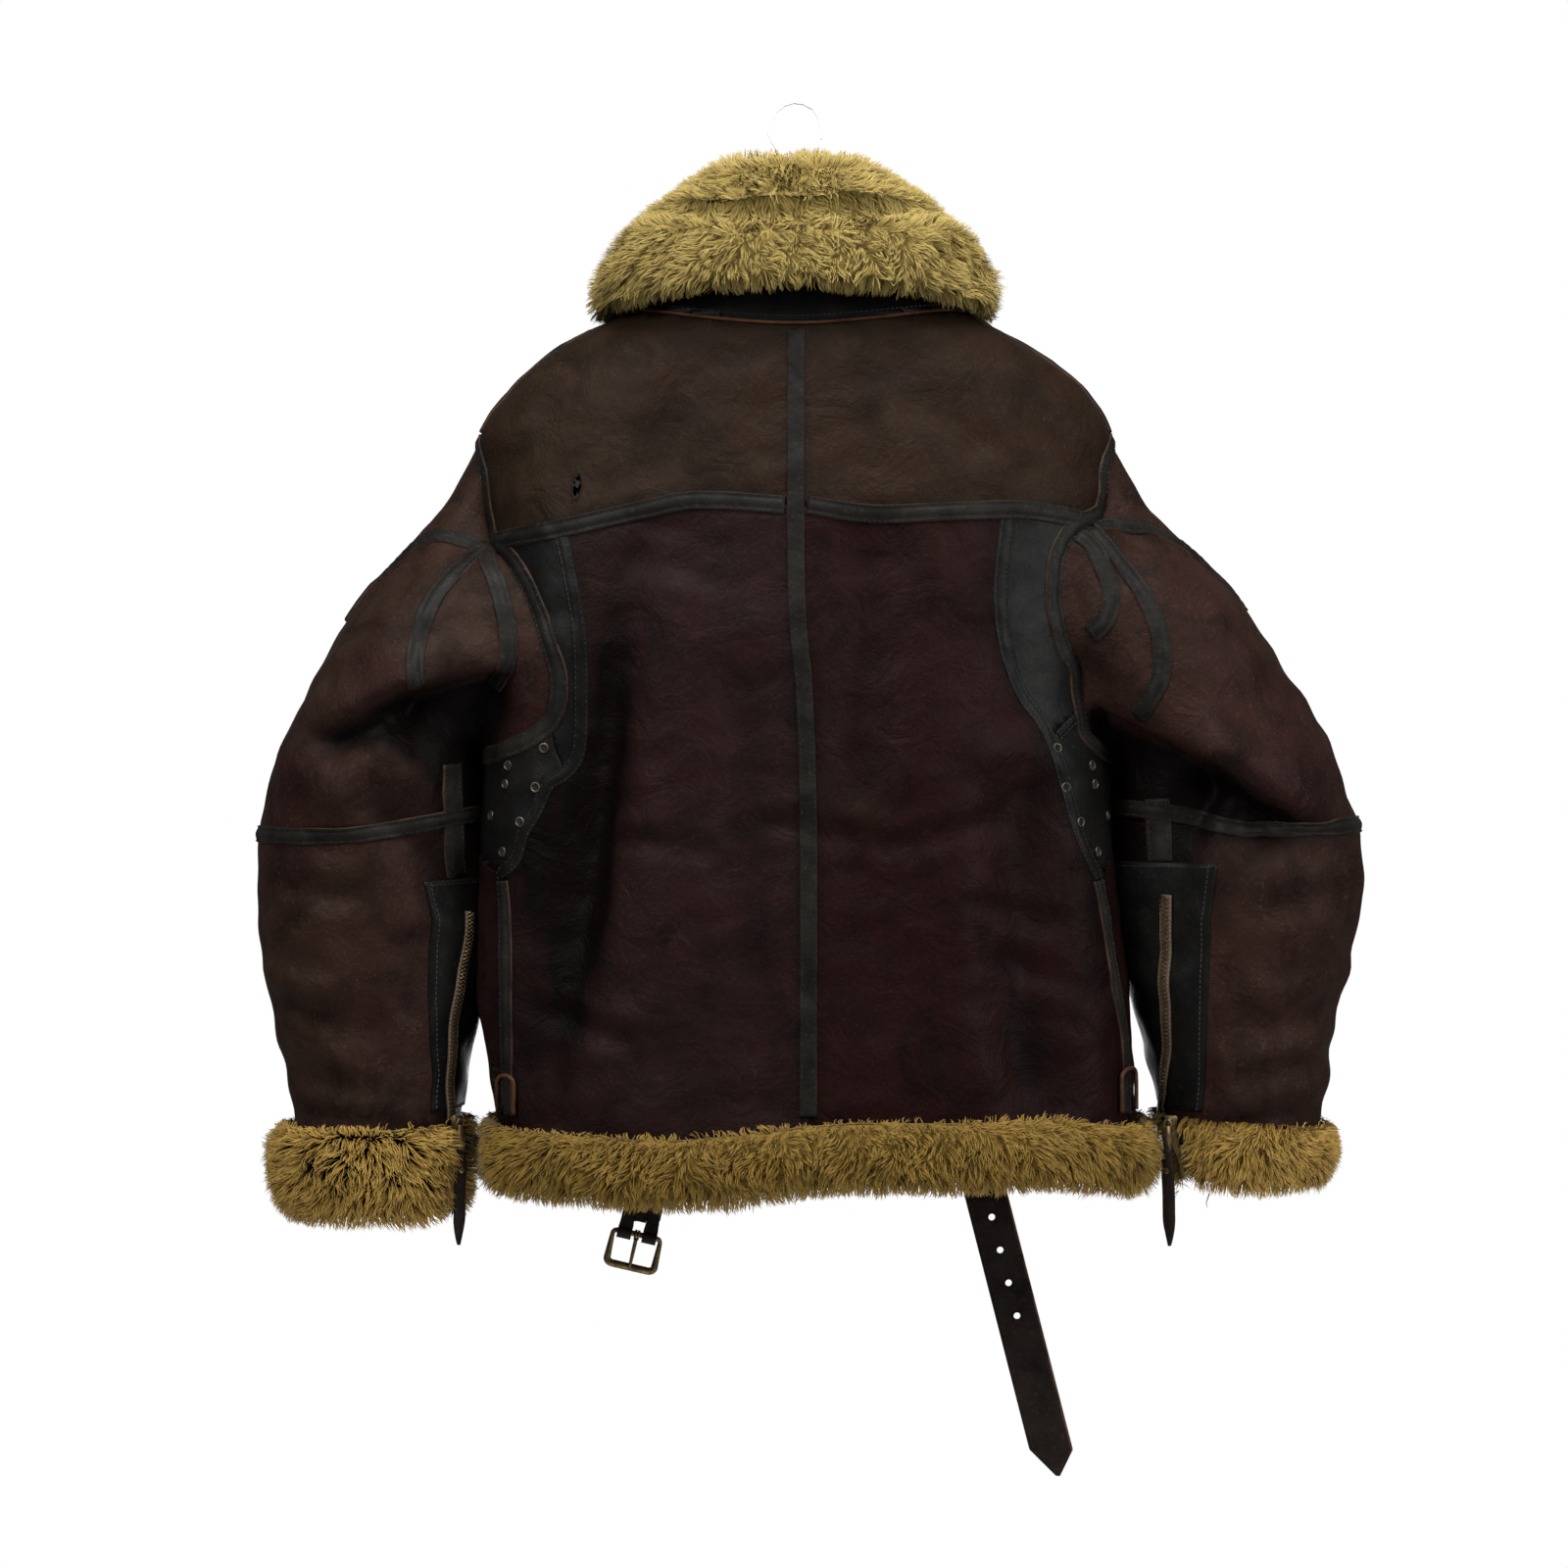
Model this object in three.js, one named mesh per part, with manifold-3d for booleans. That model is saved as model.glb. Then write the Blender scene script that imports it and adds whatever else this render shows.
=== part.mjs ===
// Sheepskin flying jacket hanging on a plain hanger, millimetres, +Z up.
// The jacket's back faces -Y and +X is the wearer's right. The origin is where the hook sits on its rod.
import * as THREE from 'three';
import { mergeVertices } from 'three/addons/utils/BufferGeometryUtils.js';
import Module from 'manifold-3d';

const wasm = await Module();
wasm.setup();

// Driving sizes
const SKIN = 5;
const SEAM = 0.3;
const LIFT = 0.3;
const TAPE_THICK = 1.5;
const TAPE_HALF = 6;
const ARM_TAPE = 12;
const ROUNDNESS = 2.7;
const BODY_STEPS = 40;
const SLEEVE_STEPS = 20;
const REACH = 400;
const DEEP = -1000;
const ARMHOLE_GAP = 0.8;
const HOLE_X = 245;
const HOLE_Z = -352;
const HEAD_ROWS = 3;
const HEM_Z = -735;
const STRAP_THICK = 3;
const STRAP_HALF = 16.5;
const HOLE_RADIUS = 2.6;
const BAR_RADIUS = 2;
const BAR_CLEAR = 0.4;

// Body sections from the neck to the hem: height, middle, half width, depth behind and in front
const BODY = [
  { z: -128, middle: 0, half: 84, back: 66, front: 76 },
  { z: -148, middle: 0, half: 110, back: 70, front: 84 },
  { z: -178, middle: -2, half: 171, back: 76, front: 86 },
  { z: -206, middle: 0, half: 205, back: 82, front: 88 },
  { z: -239, middle: 0, half: 227, back: 88, front: 92 },
  { z: -275, middle: 0, half: 223, back: 95, front: 98 },
  { z: -311, middle: 1, half: 219, back: 100, front: 102 },
  { z: -360, middle: 1, half: 215, back: 106, front: 106 },
  { z: -416, middle: 0, half: 214, back: 109, front: 109 },
  { z: -458, middle: 0, half: 217, back: 110, front: 110 },
  { z: -521, middle: -1, half: 219, back: 110, front: 112 },
  { z: -591, middle: 2, half: 224, back: 111, front: 114 },
  { z: -661, middle: 7, half: 231, back: 113, front: 116 },
  { z: -696, middle: 11, half: 230, back: 114, front: 117 },
  { z: -735, middle: 17, half: 226, back: 115, front: 118 },
];

// Seam lines as seen from behind: x, z
const STAY_LINE = [[-108, -155], [-53, -164], [2, -167], [56, -163], [111, -154]];
const CENTRE_LINE = [[0, -171], [0, -352], [5, -419], [8, -506], [8, -712]];
const FRONT_LINE = [[0, -128], [2, -560], [11, -735]];
const YOKE = {
  left: [[-216, -317], [-204, -315], [-164, -310], [-106, -298], [-76, -292], [-49, -292], [0, -295]],
  right: [[0, -295], [39, -300], [68, -301], [126, -298], [157, -297], [192, -301], [213, -305]],
};
const ARMHOLE = {
  left: [[-226.5, -243], [-221, -271], [-217, -300], [-212, -318], [-197, -335], [-183, -362], [-171, -396],
    [-167, -415], [-171, -437], [-187, -452], [-206, -460], [-217, -462]],
  right: [[226.5, -243], [218, -267], [214, -294], [209, -302], [192, -313], [183, -334], [182, -362],
    [188, -388], [197, -404], [200, -426], [204, -452], [217, -462]],
};
const SIDE_SEAM = {
  left: [[-205, -548], [-202, -588], [-201, -694], [-196, -745]],
  right: [[209, -548], [215, -580], [223, -631], [229, -665], [231, -745]],
};
const PATCH_LINE = {
  left: [[-163, -310], [-156, -342], [-149, -384], [-148, -427], [-150, -464], [-160, -479], [-171, -486],
    [-180, -505], [-189, -520], [-194, -537]],
  right: [[146, -298], [140, -350], [143, -389], [154, -422], [169, -443], [181, -470], [196, -520]],
};
const VENT_OUTLINE = {
  left: [[-172, -436], [-168, -462], [-161, -480], [-150, -520], [-205, -548], [-300, -480], [-300, -436]],
  right: [[200, -436], [178, -452], [170, -480], [160, -520], [209, -548], [300, -480], [300, -436]],
};
const PATCH_FOOT = -487;
const EYELETS = [
  [-174, -461], [-200, -473], [-202, -486], [-180, -488], [-213, -508], [-191, -512], [-204, -533],
];
const EYELET_RADIUS = 2.4;
const RIP = [[-155, -270], [-151, -272], [-147, -289], [-151, -287]];

// Sleeve sections from armhole to cuff: outer edge, inner edge, half depth
const SLEEVE = {
  left: [
    { outX: -227, outZ: -243.8, inX: -217.5, inZ: -461, deep: 84 },
    { outX: -250, outZ: -284, inX: -222, inZ: -462, deep: 88 },
    { outX: -281, outZ: -321, inX: -224, inZ: -464, deep: 90 },
    { outX: -316, outZ: -365, inX: -225, inZ: -469, deep: 92 },
    { outX: -346, outZ: -416, inX: -225, inZ: -480, deep: 92 },
    { outX: -367, outZ: -468, inX: -225, inZ: -494, deep: 88 },
    { outX: -381, outZ: -521, inX: -225, inZ: -512, deep: 82 },
    { outX: -382, outZ: -570, inX: -226, inZ: -559, deep: 78 },
    { outX: -379, outZ: -612, inX: -228, inZ: -601, deep: 74 },
    { outX: -371, outZ: -657, inX: -231, inZ: -647, deep: 70 },
    { outX: -361, outZ: -699, inX: -236, inZ: -692, deep: 64 },
    { outX: -355, outZ: -738, inX: -241, inZ: -738, deep: 58 },
  ],
  right: [
    { outX: 227, outZ: -243.8, inX: 217.5, inZ: -461, deep: 84 },
    { outX: 252, outZ: -288, inX: 222, inZ: -462, deep: 88 },
    { outX: 284, outZ: -322, inX: 224, inZ: -464, deep: 90 },
    { outX: 318, outZ: -362, inX: 225, inZ: -469, deep: 92 },
    { outX: 352, outZ: -412, inX: 226, inZ: -480, deep: 92 },
    { outX: 382, outZ: -465, inX: 227, inZ: -494, deep: 88 },
    { outX: 400, outZ: -514, inX: 229, inZ: -512, deep: 82 },
    { outX: 404, outZ: -560, inX: 233, inZ: -559, deep: 78 },
    { outX: 401, outZ: -610, inX: 239, inZ: -601, deep: 74 },
    { outX: 391, outZ: -660, inX: 246, inZ: -647, deep: 70 },
    { outX: 380, outZ: -698, inX: 256, inZ: -692, deep: 64 },
    { outX: 370, outZ: -738, inX: 269, inZ: -738, deep: 56 },
  ],
};
const ELBOW = 6;
const ELBOW_TAPE = 0.13;
const CUFF = 11;
const UPPER_ROWS = [0, 0.5, 1.1, 1.8, 2.5, 3.1, 3.6, 4.1, 4.6, 5.2, ELBOW - ELBOW_TAPE, ELBOW - 0.004];
const LOWER_ROWS = [ELBOW + 0.004, ELBOW + ELBOW_TAPE, 7, 8, 9, 10, 10.6, CUFF];

// Largest folds of the sleeves: side, both ends as seen from behind, depth, half width
const FOLDS = [
  { side: 'left', from: [-318, -441], to: [-205, -410], deep: 11, wide: 15 },
  { side: 'left', from: [-372, -640], to: [-300, -655], deep: 4, wide: 12 },
  { side: 'right', from: [214, -443], to: [360, -512], deep: 13, wide: 16 },
  { side: 'right', from: [392, -640], to: [310, -655], deep: 4, wide: 12 },
];

// Strips on the sleeves, as seen from behind: x, z
const GUSSET_LINES = {
  left: [
    [[-226, -327], [-247, -352], [-258, -379], [-261, -400], [-259, -420]],
    [[-216, -327], [-206, -350], [-199, -380], [-199, -402], [-210, -418]],
  ],
  right: [
    [[225, -328], [248, -360], [258, -386], [254, -414], [240, -442]],
    [[206, -321], [212, -335], [218, -355], [213, -374], [203, -383]],
  ],
};
const TOP_LINES = {
  left: [[-234, -318], [-252, -313], [-272, -322]],
  right: [[226, -308], [245, -312], [272, -326]],
};
const FOREARM_LINES = {
  left: [[-240, -472], [-238, -550]],
  right: [[252, -496], [254, -540]],
};
const ZIP_PANELS = {
  left: [[-258, -554], [-255, -580], [-256, -640], [-254, -690], [-257, -716], [-200, -716], [-200, -554]],
  right: [[291, -541], [287, -580], [285, -640], [284, -716], [215, -716], [215, -541]],
};
const ZIP_LINES = {
  left: [[-234, -576], [-237, -604], [-242, -645], [-245, -700], [-246, -722]],
  right: [[258, -563], [261, -640], [263, -722]],
};
const SIDE_TAPE = {
  left: [[-204, -553], [-202, -588], [-201, -694], [-200, -716]],
  right: [[210, -553], [215, -580], [223, -631], [229, -665], [231, -716]],
};
const SIDE_LOOPS = {
  left: [[-200, -688], [-200, -714]],
  right: [[230, -684], [231, -714]],
};
const FRONT_TAPE = [[0, -150], [2, -560], [10, -716]];
const ZIP_TAPE_HALF = 8;
const CUFF_FUR_LENGTH = { left: 54, right: 46 };

// Colours, roughness and metalness of the pieces
const LOOKS = {
  leather: { color: 0x3a2a20, roughness: 0.62, metalness: 0 },
  black: { color: 0x19171a, roughness: 0.5, metalness: 0 },
  tape: { color: 0x2b2725, roughness: 0.6, metalness: 0 },
  fur: { color: 0x8a7350, roughness: 0.95, metalness: 0 },
  brass: { color: 0x8a7444, roughness: 0.42, metalness: 0.9 },
  white: { color: 0xe8e8e6, roughness: 0.4, metalness: 0 },
  strap: { color: 0x2e221b, roughness: 0.6, metalness: 0 },
  piping: { color: 0x5a3a22, roughness: 0.6, metalness: 0 },
};

const group = new THREE.Group();

function addPiece(name, geometry, look) {
  const mesh = new THREE.Mesh(geometry, new THREE.MeshStandardMaterial(LOOKS[look]));
  mesh.name = name;
  group.add(mesh);
}

// Closed body from loops of points: one loop after another, round or with two end caps.
// The second half of a loop, a wall's inside, is split along the same diagonals as its outside.
function skinLoops(loops, round) {
  const size = loops[0].length;
  const points = loops.flat();
  const faces = [];
  const spans = round ? loops.length : loops.length - 1;
  for (let i = 0; i < spans; i += 1) {
    const next = (i + 1) % loops.length;
    for (let j = 0; j < size; j += 1) {
      const k = (j + 1) % size;
      const [a, b, c, d] = [i * size + j, next * size + j, next * size + k, i * size + k];
      faces.push(j < size / 2 ? [a, b, c] : [a, b, d]);
      faces.push(j < size / 2 ? [a, c, d] : [b, c, d]);
    }
  }
  if (!round) {
    capLoop(loops[0]).forEach(([a, b, c]) => faces.push([a, b, c]));
    const last = (loops.length - 1) * size;
    capLoop(loops[loops.length - 1]).forEach(([a, b, c]) => faces.push([last + c, last + b, last + a]));
  }
  return turnOutwards(points, faces);
}

// Triangles that fill one loop, running as the loop's own points do
function capLoop(loop) {
  const normal = new THREE.Vector3();
  loop.forEach((point, i) => normal.add(point.clone().cross(loop[(i + 1) % loop.length])));
  normal.normalize();
  const across = new THREE.Vector3(0.31, 0.52, 0.79).cross(normal).normalize();
  const along = normal.clone().cross(across);
  const flat = loop.map((point) => new THREE.Vector2(point.dot(across), point.dot(along)));
  return THREE.ShapeUtils.triangulateShape(flat, []);
}

function turnOutwards(points, faces) {
  let volume = 0;
  faces.forEach(([a, b, c]) => {
    volume += points[a].dot(points[b].clone().cross(points[c]));
  });
  const geometry = new THREE.BufferGeometry();
  const places = points.flatMap((point) => [point.x, point.y, point.z]);
  geometry.setAttribute('position', new THREE.Float32BufferAttribute(places, 3));
  const order = volume > 0 ? faces : faces.map(([a, b, c]) => [a, c, b]);
  geometry.setIndex(order.flat());
  return geometry;
}

function toSolid(geometry) {
  const bare = geometry.clone();
  bare.deleteAttribute('normal');
  bare.deleteAttribute('uv');
  const merged = mergeVertices(bare, 1e-4);
  return new wasm.Manifold(new wasm.Mesh({
    numProp: 3,
    vertProperties: new Float32Array(merged.attributes.position.array),
    triVerts: new Uint32Array(merged.index.array),
  }));
}

function toGeometry(solid) {
  const mesh = solid.getMesh();
  const geometry = new THREE.BufferGeometry();
  geometry.setAttribute('position', new THREE.BufferAttribute(mesh.vertProperties, 3));
  geometry.setIndex(new THREE.BufferAttribute(mesh.triVerts, 1));
  return geometry;
}

// Prism over an outline seen from behind, from one depth to another
function prism(outline, from, to) {
  const shape = new THREE.Shape(outline.map(([x, z]) => new THREE.Vector2(x, z)));
  const geometry = new THREE.ExtrudeGeometry(shape, { depth: to - from, bevelEnabled: false });
  geometry.rotateX(Math.PI / 2);
  geometry.translate(0, to, 0);
  return toSolid(geometry);
}

// Outline of a line widened to both sides
function widen(line, half) {
  const left = [];
  const right = [];
  line.forEach(([x, z], i) => {
    const before = line[Math.max(0, i - 1)];
    const after = line[Math.min(line.length - 1, i + 1)];
    const length = Math.hypot(after[0] - before[0], after[1] - before[1]);
    const nx = -(after[1] - before[1]) / length;
    const nz = (after[0] - before[0]) / length;
    left.push([x + nx * half, z + nz * half]);
    right.unshift([x - nx * half, z - nz * half]);
  });
  return [...left, ...right];
}

// Outline of all that lies below a line that runs from left to right
function below(line) {
  const first = line[0];
  const last = line[line.length - 1];
  return [[-REACH, first[1]], ...line, [REACH, last[1]], [REACH, DEEP], [-REACH, DEEP]];
}

const backPrism = (outline) => prism(outline, -REACH, 0);
const frontPrism = (outline) => prism(outline, 0, REACH);
const bothPrism = (outline) => prism(outline, -REACH, REACH);
const signOf = (side) => (side === 'left' ? -1 : 1);
const SIDES = ['left', 'right'];

// Body surface
function bodyRow(z) {
  const last = BODY[BODY.length - 1];
  if (z >= BODY[0].z) return BODY[0];
  if (z <= last.z) return last;
  const i = BODY.findIndex((row) => row.z <= z);
  const upper = BODY[i - 1];
  const lower = BODY[i];
  const t = (z - upper.z) / (lower.z - upper.z);
  const mix = (key) => upper[key] + (lower[key] - upper[key]) * t;
  return { middle: mix('middle'), half: mix('half'), back: mix('back'), front: mix('front') };
}

// Point of an oval section at an angle: zero at +X, a quarter turn at the back
function ovalPoint(row, angle, z, grow = 0) {
  const power = 2 / ROUNDNESS;
  const c = Math.cos(angle);
  const s = Math.sin(angle);
  const deep = s > 0 ? row.back : row.front;
  const x = row.middle + (row.half + grow) * Math.sign(c) * Math.abs(c) ** power;
  const y = -(deep + grow) * Math.sign(s) * Math.abs(s) ** power;
  return new THREE.Vector3(x, y, z);
}

const bodyPoint = (angle, z) => ovalPoint(bodyRow(z), angle, z);

function bodyDepth(x, z, behind) {
  const row = bodyRow(z);
  const across = Math.min(1, Math.abs(x - row.middle) / row.half);
  const deep = (1 - across ** ROUNDNESS) ** (1 / ROUNDNESS);
  return behind ? -row.back * deep : row.front * deep;
}

function bodyNormal(angle, z) {
  const turn = bodyPoint(angle + 0.02, z).sub(bodyPoint(angle - 0.02, z));
  const fall = bodyPoint(angle, z - 4).sub(bodyPoint(angle, z + 4));
  const normal = turn.cross(fall).normalize();
  return normal.dot(new THREE.Vector3(Math.cos(angle), -Math.sin(angle), 0)) < 0 ? normal.negate() : normal;
}

// Wall round the body between two distances from its surface
function bodyWall(inner, outer) {
  const loops = [];
  for (let i = 0; i < BODY_STEPS; i += 1) {
    const angle = ((i + 0.5) / BODY_STEPS) * 2 * Math.PI;
    const at = (row, off) => bodyPoint(angle, row.z).addScaledVector(bodyNormal(angle, row.z), off);
    const outside = BODY.map((row) => at(row, outer));
    const inside = BODY.map((row) => at(row, inner)).reverse();
    loops.push([...outside, ...inside]);
  }
  return toSolid(skinLoops(loops, true));
}

function armholeOutline(side) {
  const line = ARMHOLE[side];
  const far = signOf(side) * 320;
  return [...line, [far, line[line.length - 1][1]], [far, line[0][1]]];
}

// Armhole edge on the body's surface: top, down the back, underarm, up the front
function armholeLoop(side) {
  const line = ARMHOLE[side].map(([x, z]) => new THREE.Vector2(x, z));
  const trace = (behind) => {
    const path = new THREE.CurvePath();
    for (let i = 0; i + 1 < line.length; i += 1) {
      const points = [0, 0.25, 0.5, 0.75, 1].map((t) => {
        const spot = line[i].clone().lerp(line[i + 1], t);
        return new THREE.Vector3(spot.x, bodyDepth(spot.x, spot.y, behind), spot.y);
      });
      points.slice(1).forEach((point, j) => path.add(new THREE.LineCurve3(points[j], point)));
    }
    return path.getSpacedPoints(SLEEVE_STEPS / 2);
  };
  const back = trace(true);
  const front = trace(false).reverse();
  return [...back, ...front.slice(1, -1)].map((point) => towardsHole(point, side, ARMHOLE_GAP));
}

function towardsHole(point, side, distance) {
  const pull = new THREE.Vector3(signOf(side) * HOLE_X - point.x, 0, HOLE_Z - point.z);
  return point.clone().addScaledVector(pull.normalize(), distance);
}

const LOOPS = { left: armholeLoop('left'), right: armholeLoop('right') };

// Values of a sleeve section between two rows, on a smooth curve through the rows
function sleeveRow(side, place) {
  const rows = SLEEVE[side];
  const last = rows.length - 1;
  const i = Math.min(last - 1, Math.floor(place));
  const t = place - i;
  const pick = (j) => rows[Math.max(0, Math.min(last, j))];
  const mix = (key) => {
    const [a, b, c, d] = [pick(i - 1)[key], pick(i)[key], pick(i + 1)[key], pick(i + 2)[key]];
    return b + 0.5 * t * (c - a + t * (2 * a - 5 * b + 4 * c - d + t * (3 * (b - c) + d - a)));
  };
  return {
    out: new THREE.Vector3(mix('outX'), 0, mix('outZ')),
    inn: new THREE.Vector3(mix('inX'), 0, mix('inZ')),
    deep: mix('deep'),
  };
}

function foldDepth(side, x, z) {
  return FOLDS.filter((fold) => fold.side === side).reduce((sum, fold) => {
    const [ax, az] = fold.from;
    const [bx, bz] = fold.to;
    const length = (bx - ax) ** 2 + (bz - az) ** 2;
    const t = Math.max(0, Math.min(1, ((x - ax) * (bx - ax) + (z - az) * (bz - az)) / length));
    const away = Math.hypot(x - ax - t * (bx - ax), z - az - t * (bz - az));
    return sum + fold.deep * Math.exp(-((away / fold.wide) ** 2));
  }, 0);
}

// Sleeve surface: place along the sleeve, step round it from the outer edge by the back
function sleevePoint(side, place, step, off) {
  const angle = (step / SLEEVE_STEPS) * 2 * Math.PI;
  const row = sleeveRow(side, place);
  const first = sleeveRow(side, 0);
  const up = row.out.clone().sub(row.inn);
  const half = up.length() / 2;
  up.normalize();
  const radial = up.clone().multiplyScalar(Math.cos(angle)).add(new THREE.Vector3(0, -Math.sin(angle), 0));
  const point = row.out.clone().add(row.inn).multiplyScalar(0.5);
  point.addScaledVector(up, half * Math.cos(angle));
  point.y -= row.deep * Math.sin(angle);
  const share = Math.max(0, 1 - place / HEAD_ROWS) ** 2;
  const topShare = ((1 + Math.cos(angle)) / 2) ** 1.6;
  if (share > 0) {
    const loopPoint = LOOPS[side][step].clone();
    loopPoint.addScaledVector(row.out.clone().sub(first.out), topShare);
    loopPoint.addScaledVector(row.inn.clone().sub(first.inn), 1 - topShare);
    point.lerp(loopPoint, share);
  }
  const fold = foldDepth(side, point.x, point.z) * Math.abs(Math.sin(angle)) ** 0.5;
  return point.addScaledVector(radial, off - fold);
}

function sleeveWall(side, places, inner, outer) {
  const loops = [];
  for (let step = 0; step < SLEEVE_STEPS; step += 1) {
    const outside = places.map((place) => sleevePoint(side, place, step, outer));
    const inside = places.map((place) => sleevePoint(side, place, step, inner)).reverse();
    loops.push([...outside, ...inside]);
  }
  return toSolid(skinLoops(loops, true));
}

function largest(solid) {
  return solid.decompose().reduce((best, part) => (part.volume() > best.volume() ? part : best));
}

// Body wall or tape layer with both armholes open
function openArms(wall, gap) {
  return SIDES.reduce((solid, side) => {
    const outline = armholeOutline(side).map(([x, z]) => {
      const moved = towardsHole(new THREE.Vector3(x, 0, z), side, gap);
      return [moved.x, moved.z];
    });
    return solid.subtract(bothPrism(outline));
  }, wall);
}

const outerLine = (side) => [...PATCH_LINE[side], ...SIDE_SEAM[side]];
const stretch = (line, up, down) => [
  [line[0][0], line[0][1] + up], ...line, [line[line.length - 1][0], line[line.length - 1][1] - down],
];
const sideways = (line, far) => [
  [-far, line[0][1]], ...line, [far, line[line.length - 1][1]],
];
const ALL = [[-REACH, 0], [REACH, 0], [REACH, DEEP], [-REACH, DEEP]];

// Outline of all that lies outboard of a line that runs downwards
function outboard(line, side) {
  const far = signOf(side) * REACH;
  const last = line[line.length - 1];
  return [[line[0][0], 0], ...line, [last[0], DEEP], [far, DEEP], [far, 0]];
}

const closeLine = (outline) => [...outline, outline[0]];
const slit = (line) => backPrism(widen(line, SEAM / 2));

// Front panels take in the side strip behind the side seam, below the vent
function sideStrip(side) {
  return backPrism(outboard(outerLine(side), side))
    .intersect(backPrism(below([[-REACH, PATCH_FOOT], [REACH, PATCH_FOOT]])))
    .subtract(backPrism(VENT_OUTLINE[side]))
    .subtract(slit(outerLine(side)))
    .subtract(slit(closeLine(VENT_OUTLINE[side])));
}

function makeBody() {
  const wall = openArms(bodyWall(-SKIN, 0), 0);
  const centreCut = stretch(CENTRE_LINE, 60, 60);
  const frontCut = stretch(FRONT_LINE, 60, 60);
  const stayCut = sideways(STAY_LINE, 240);
  const yokeCut = [...YOKE.left, ...YOKE.right.slice(1)];
  const lip = prism(ALL, -SEAM, SEAM);
  let back = wall.intersect(backPrism(ALL)).subtract(lip);
  [stayCut, yokeCut, outerLine('left'), outerLine('right')].forEach((line) => {
    back = back.subtract(slit(line));
  });
  const belowStay = backPrism(below(stayCut));
  addPiece('neck_stay', toGeometry(largest(back.subtract(belowStay))), 'black');
  const lower = back.intersect(belowStay).subtract(slit(centreCut));
  const belowYoke = backPrism(below(yokeCut));
  const aboveFoot = prism([[-REACH, 0], [REACH, 0], [REACH, PATCH_FOOT], [-REACH, PATCH_FOOT]], -REACH, 0);
  let front = wall.subtract(backPrism(ALL).subtract(sideStrip('left')).subtract(sideStrip('right')));
  front = front.subtract(frontPrism(widen(frontCut, SEAM / 2)));
  SIDES.forEach((side) => {
    const half = lower.intersect(backPrism(outboard(centreCut, side)));
    const above = half.subtract(belowYoke);
    const yoke = side === 'left' ? above.subtract(backPrism(RIP)) : above;
    addPiece(`yoke_${side}`, toGeometry(largest(yoke)), 'leather');
    const low = half.intersect(belowYoke);
    const outer = backPrism(outboard(outerLine(side), side));
    addPiece(`back_${side}`, toGeometry(largest(low.subtract(outer))), 'leather');
    const underarm = low.intersect(outer).subtract(slit(closeLine(VENT_OUTLINE[side])));
    const vent = underarm.intersect(backPrism(VENT_OUTLINE[side]));
    const patch = underarm.intersect(aboveFoot).subtract(backPrism(VENT_OUTLINE[side]));
    addPiece(`patch_${side}`, toGeometry(largest(patch)), 'black');
    addPiece(`vent_${side}`, toGeometry(largest(cutEyelets(vent, side))), 'black');
    const part = front.intersect(bothPrism(outboard(frontCut, side)));
    addPiece(`front_${side}`, toGeometry(largest(part)), 'leather');
  });
}

function cutEyelets(vent, side) {
  return EYELETS.reduce((solid, [x, z]) => {
    const outline = [];
    for (let i = 0; i < 6; i += 1) {
      const turn = (i * Math.PI) / 3;
      outline.push([-signOf(side) * x + EYELET_RADIUS * Math.cos(turn), z + EYELET_RADIUS * Math.sin(turn)]);
    }
    return solid.subtract(backPrism(outline));
  }, vent);
}

const ARM_TAPE_LINE = {
  left: [[-228, -231], ...ARMHOLE.left, [-232, -463]],
  right: [[228, -231], ...ARMHOLE.right, [232, -463]],
};

function makeBodyTapes() {
  const layer = openArms(bodyWall(LIFT, LIFT + TAPE_THICK), 0);
  const strip = (line, half) => layer.intersect(backPrism(widen(line, half)));
  addPiece('tape_centre_back', toGeometry(largest(strip(CENTRE_LINE, TAPE_HALF))), 'tape');
  const frontTape = layer.intersect(frontPrism(widen(FRONT_TAPE, ZIP_TAPE_HALF)));
  addPiece('front_zip', toGeometry(largest(frontTape)), 'piping');
  SIDES.forEach((side) => {
    const sign = signOf(side);
    const armhole = bothPrism(widen(ARM_TAPE_LINE[side], ARM_TAPE));
    addPiece(`tape_armhole_${side}`, toGeometry(largest(layer.intersect(armhole))), 'tape');
    const yoke = strip(YOKE[side], TAPE_HALF)
      .subtract(backPrism(widen(stretch(CENTRE_LINE, 20, 1), TAPE_HALF + SEAM)))
      .subtract(bothPrism(widen(ARM_TAPE_LINE[side], ARM_TAPE + SEAM)));
    addPiece(`tape_yoke_${side}`, toGeometry(largest(yoke)), 'tape');
    addPiece(`tape_side_${side}`, toGeometry(largest(strip(SIDE_TAPE[side], TAPE_HALF))), 'tape');
    const top = [[sign * 116, -100], [sign * 205, -100], [sign * 205, -260], [sign * 116, -260]];
    const shoulder = layer.intersect(prism(top, -TAPE_HALF, TAPE_HALF));
    addPiece(`tape_shoulder_${side}`, toGeometry(largest(shoulder)), 'tape');
  });
  const high = openArms(bodyWall(2 * LIFT + TAPE_THICK, 2 * LIFT + 2 * TAPE_THICK), 0);
  SIDES.forEach((side) => {
    const loop = high.intersect(backPrism(widen(SIDE_LOOPS[side], 2.5)));
    addPiece(`side_loop_${side}`, toGeometry(largest(loop)), 'piping');
  });
}

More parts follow.
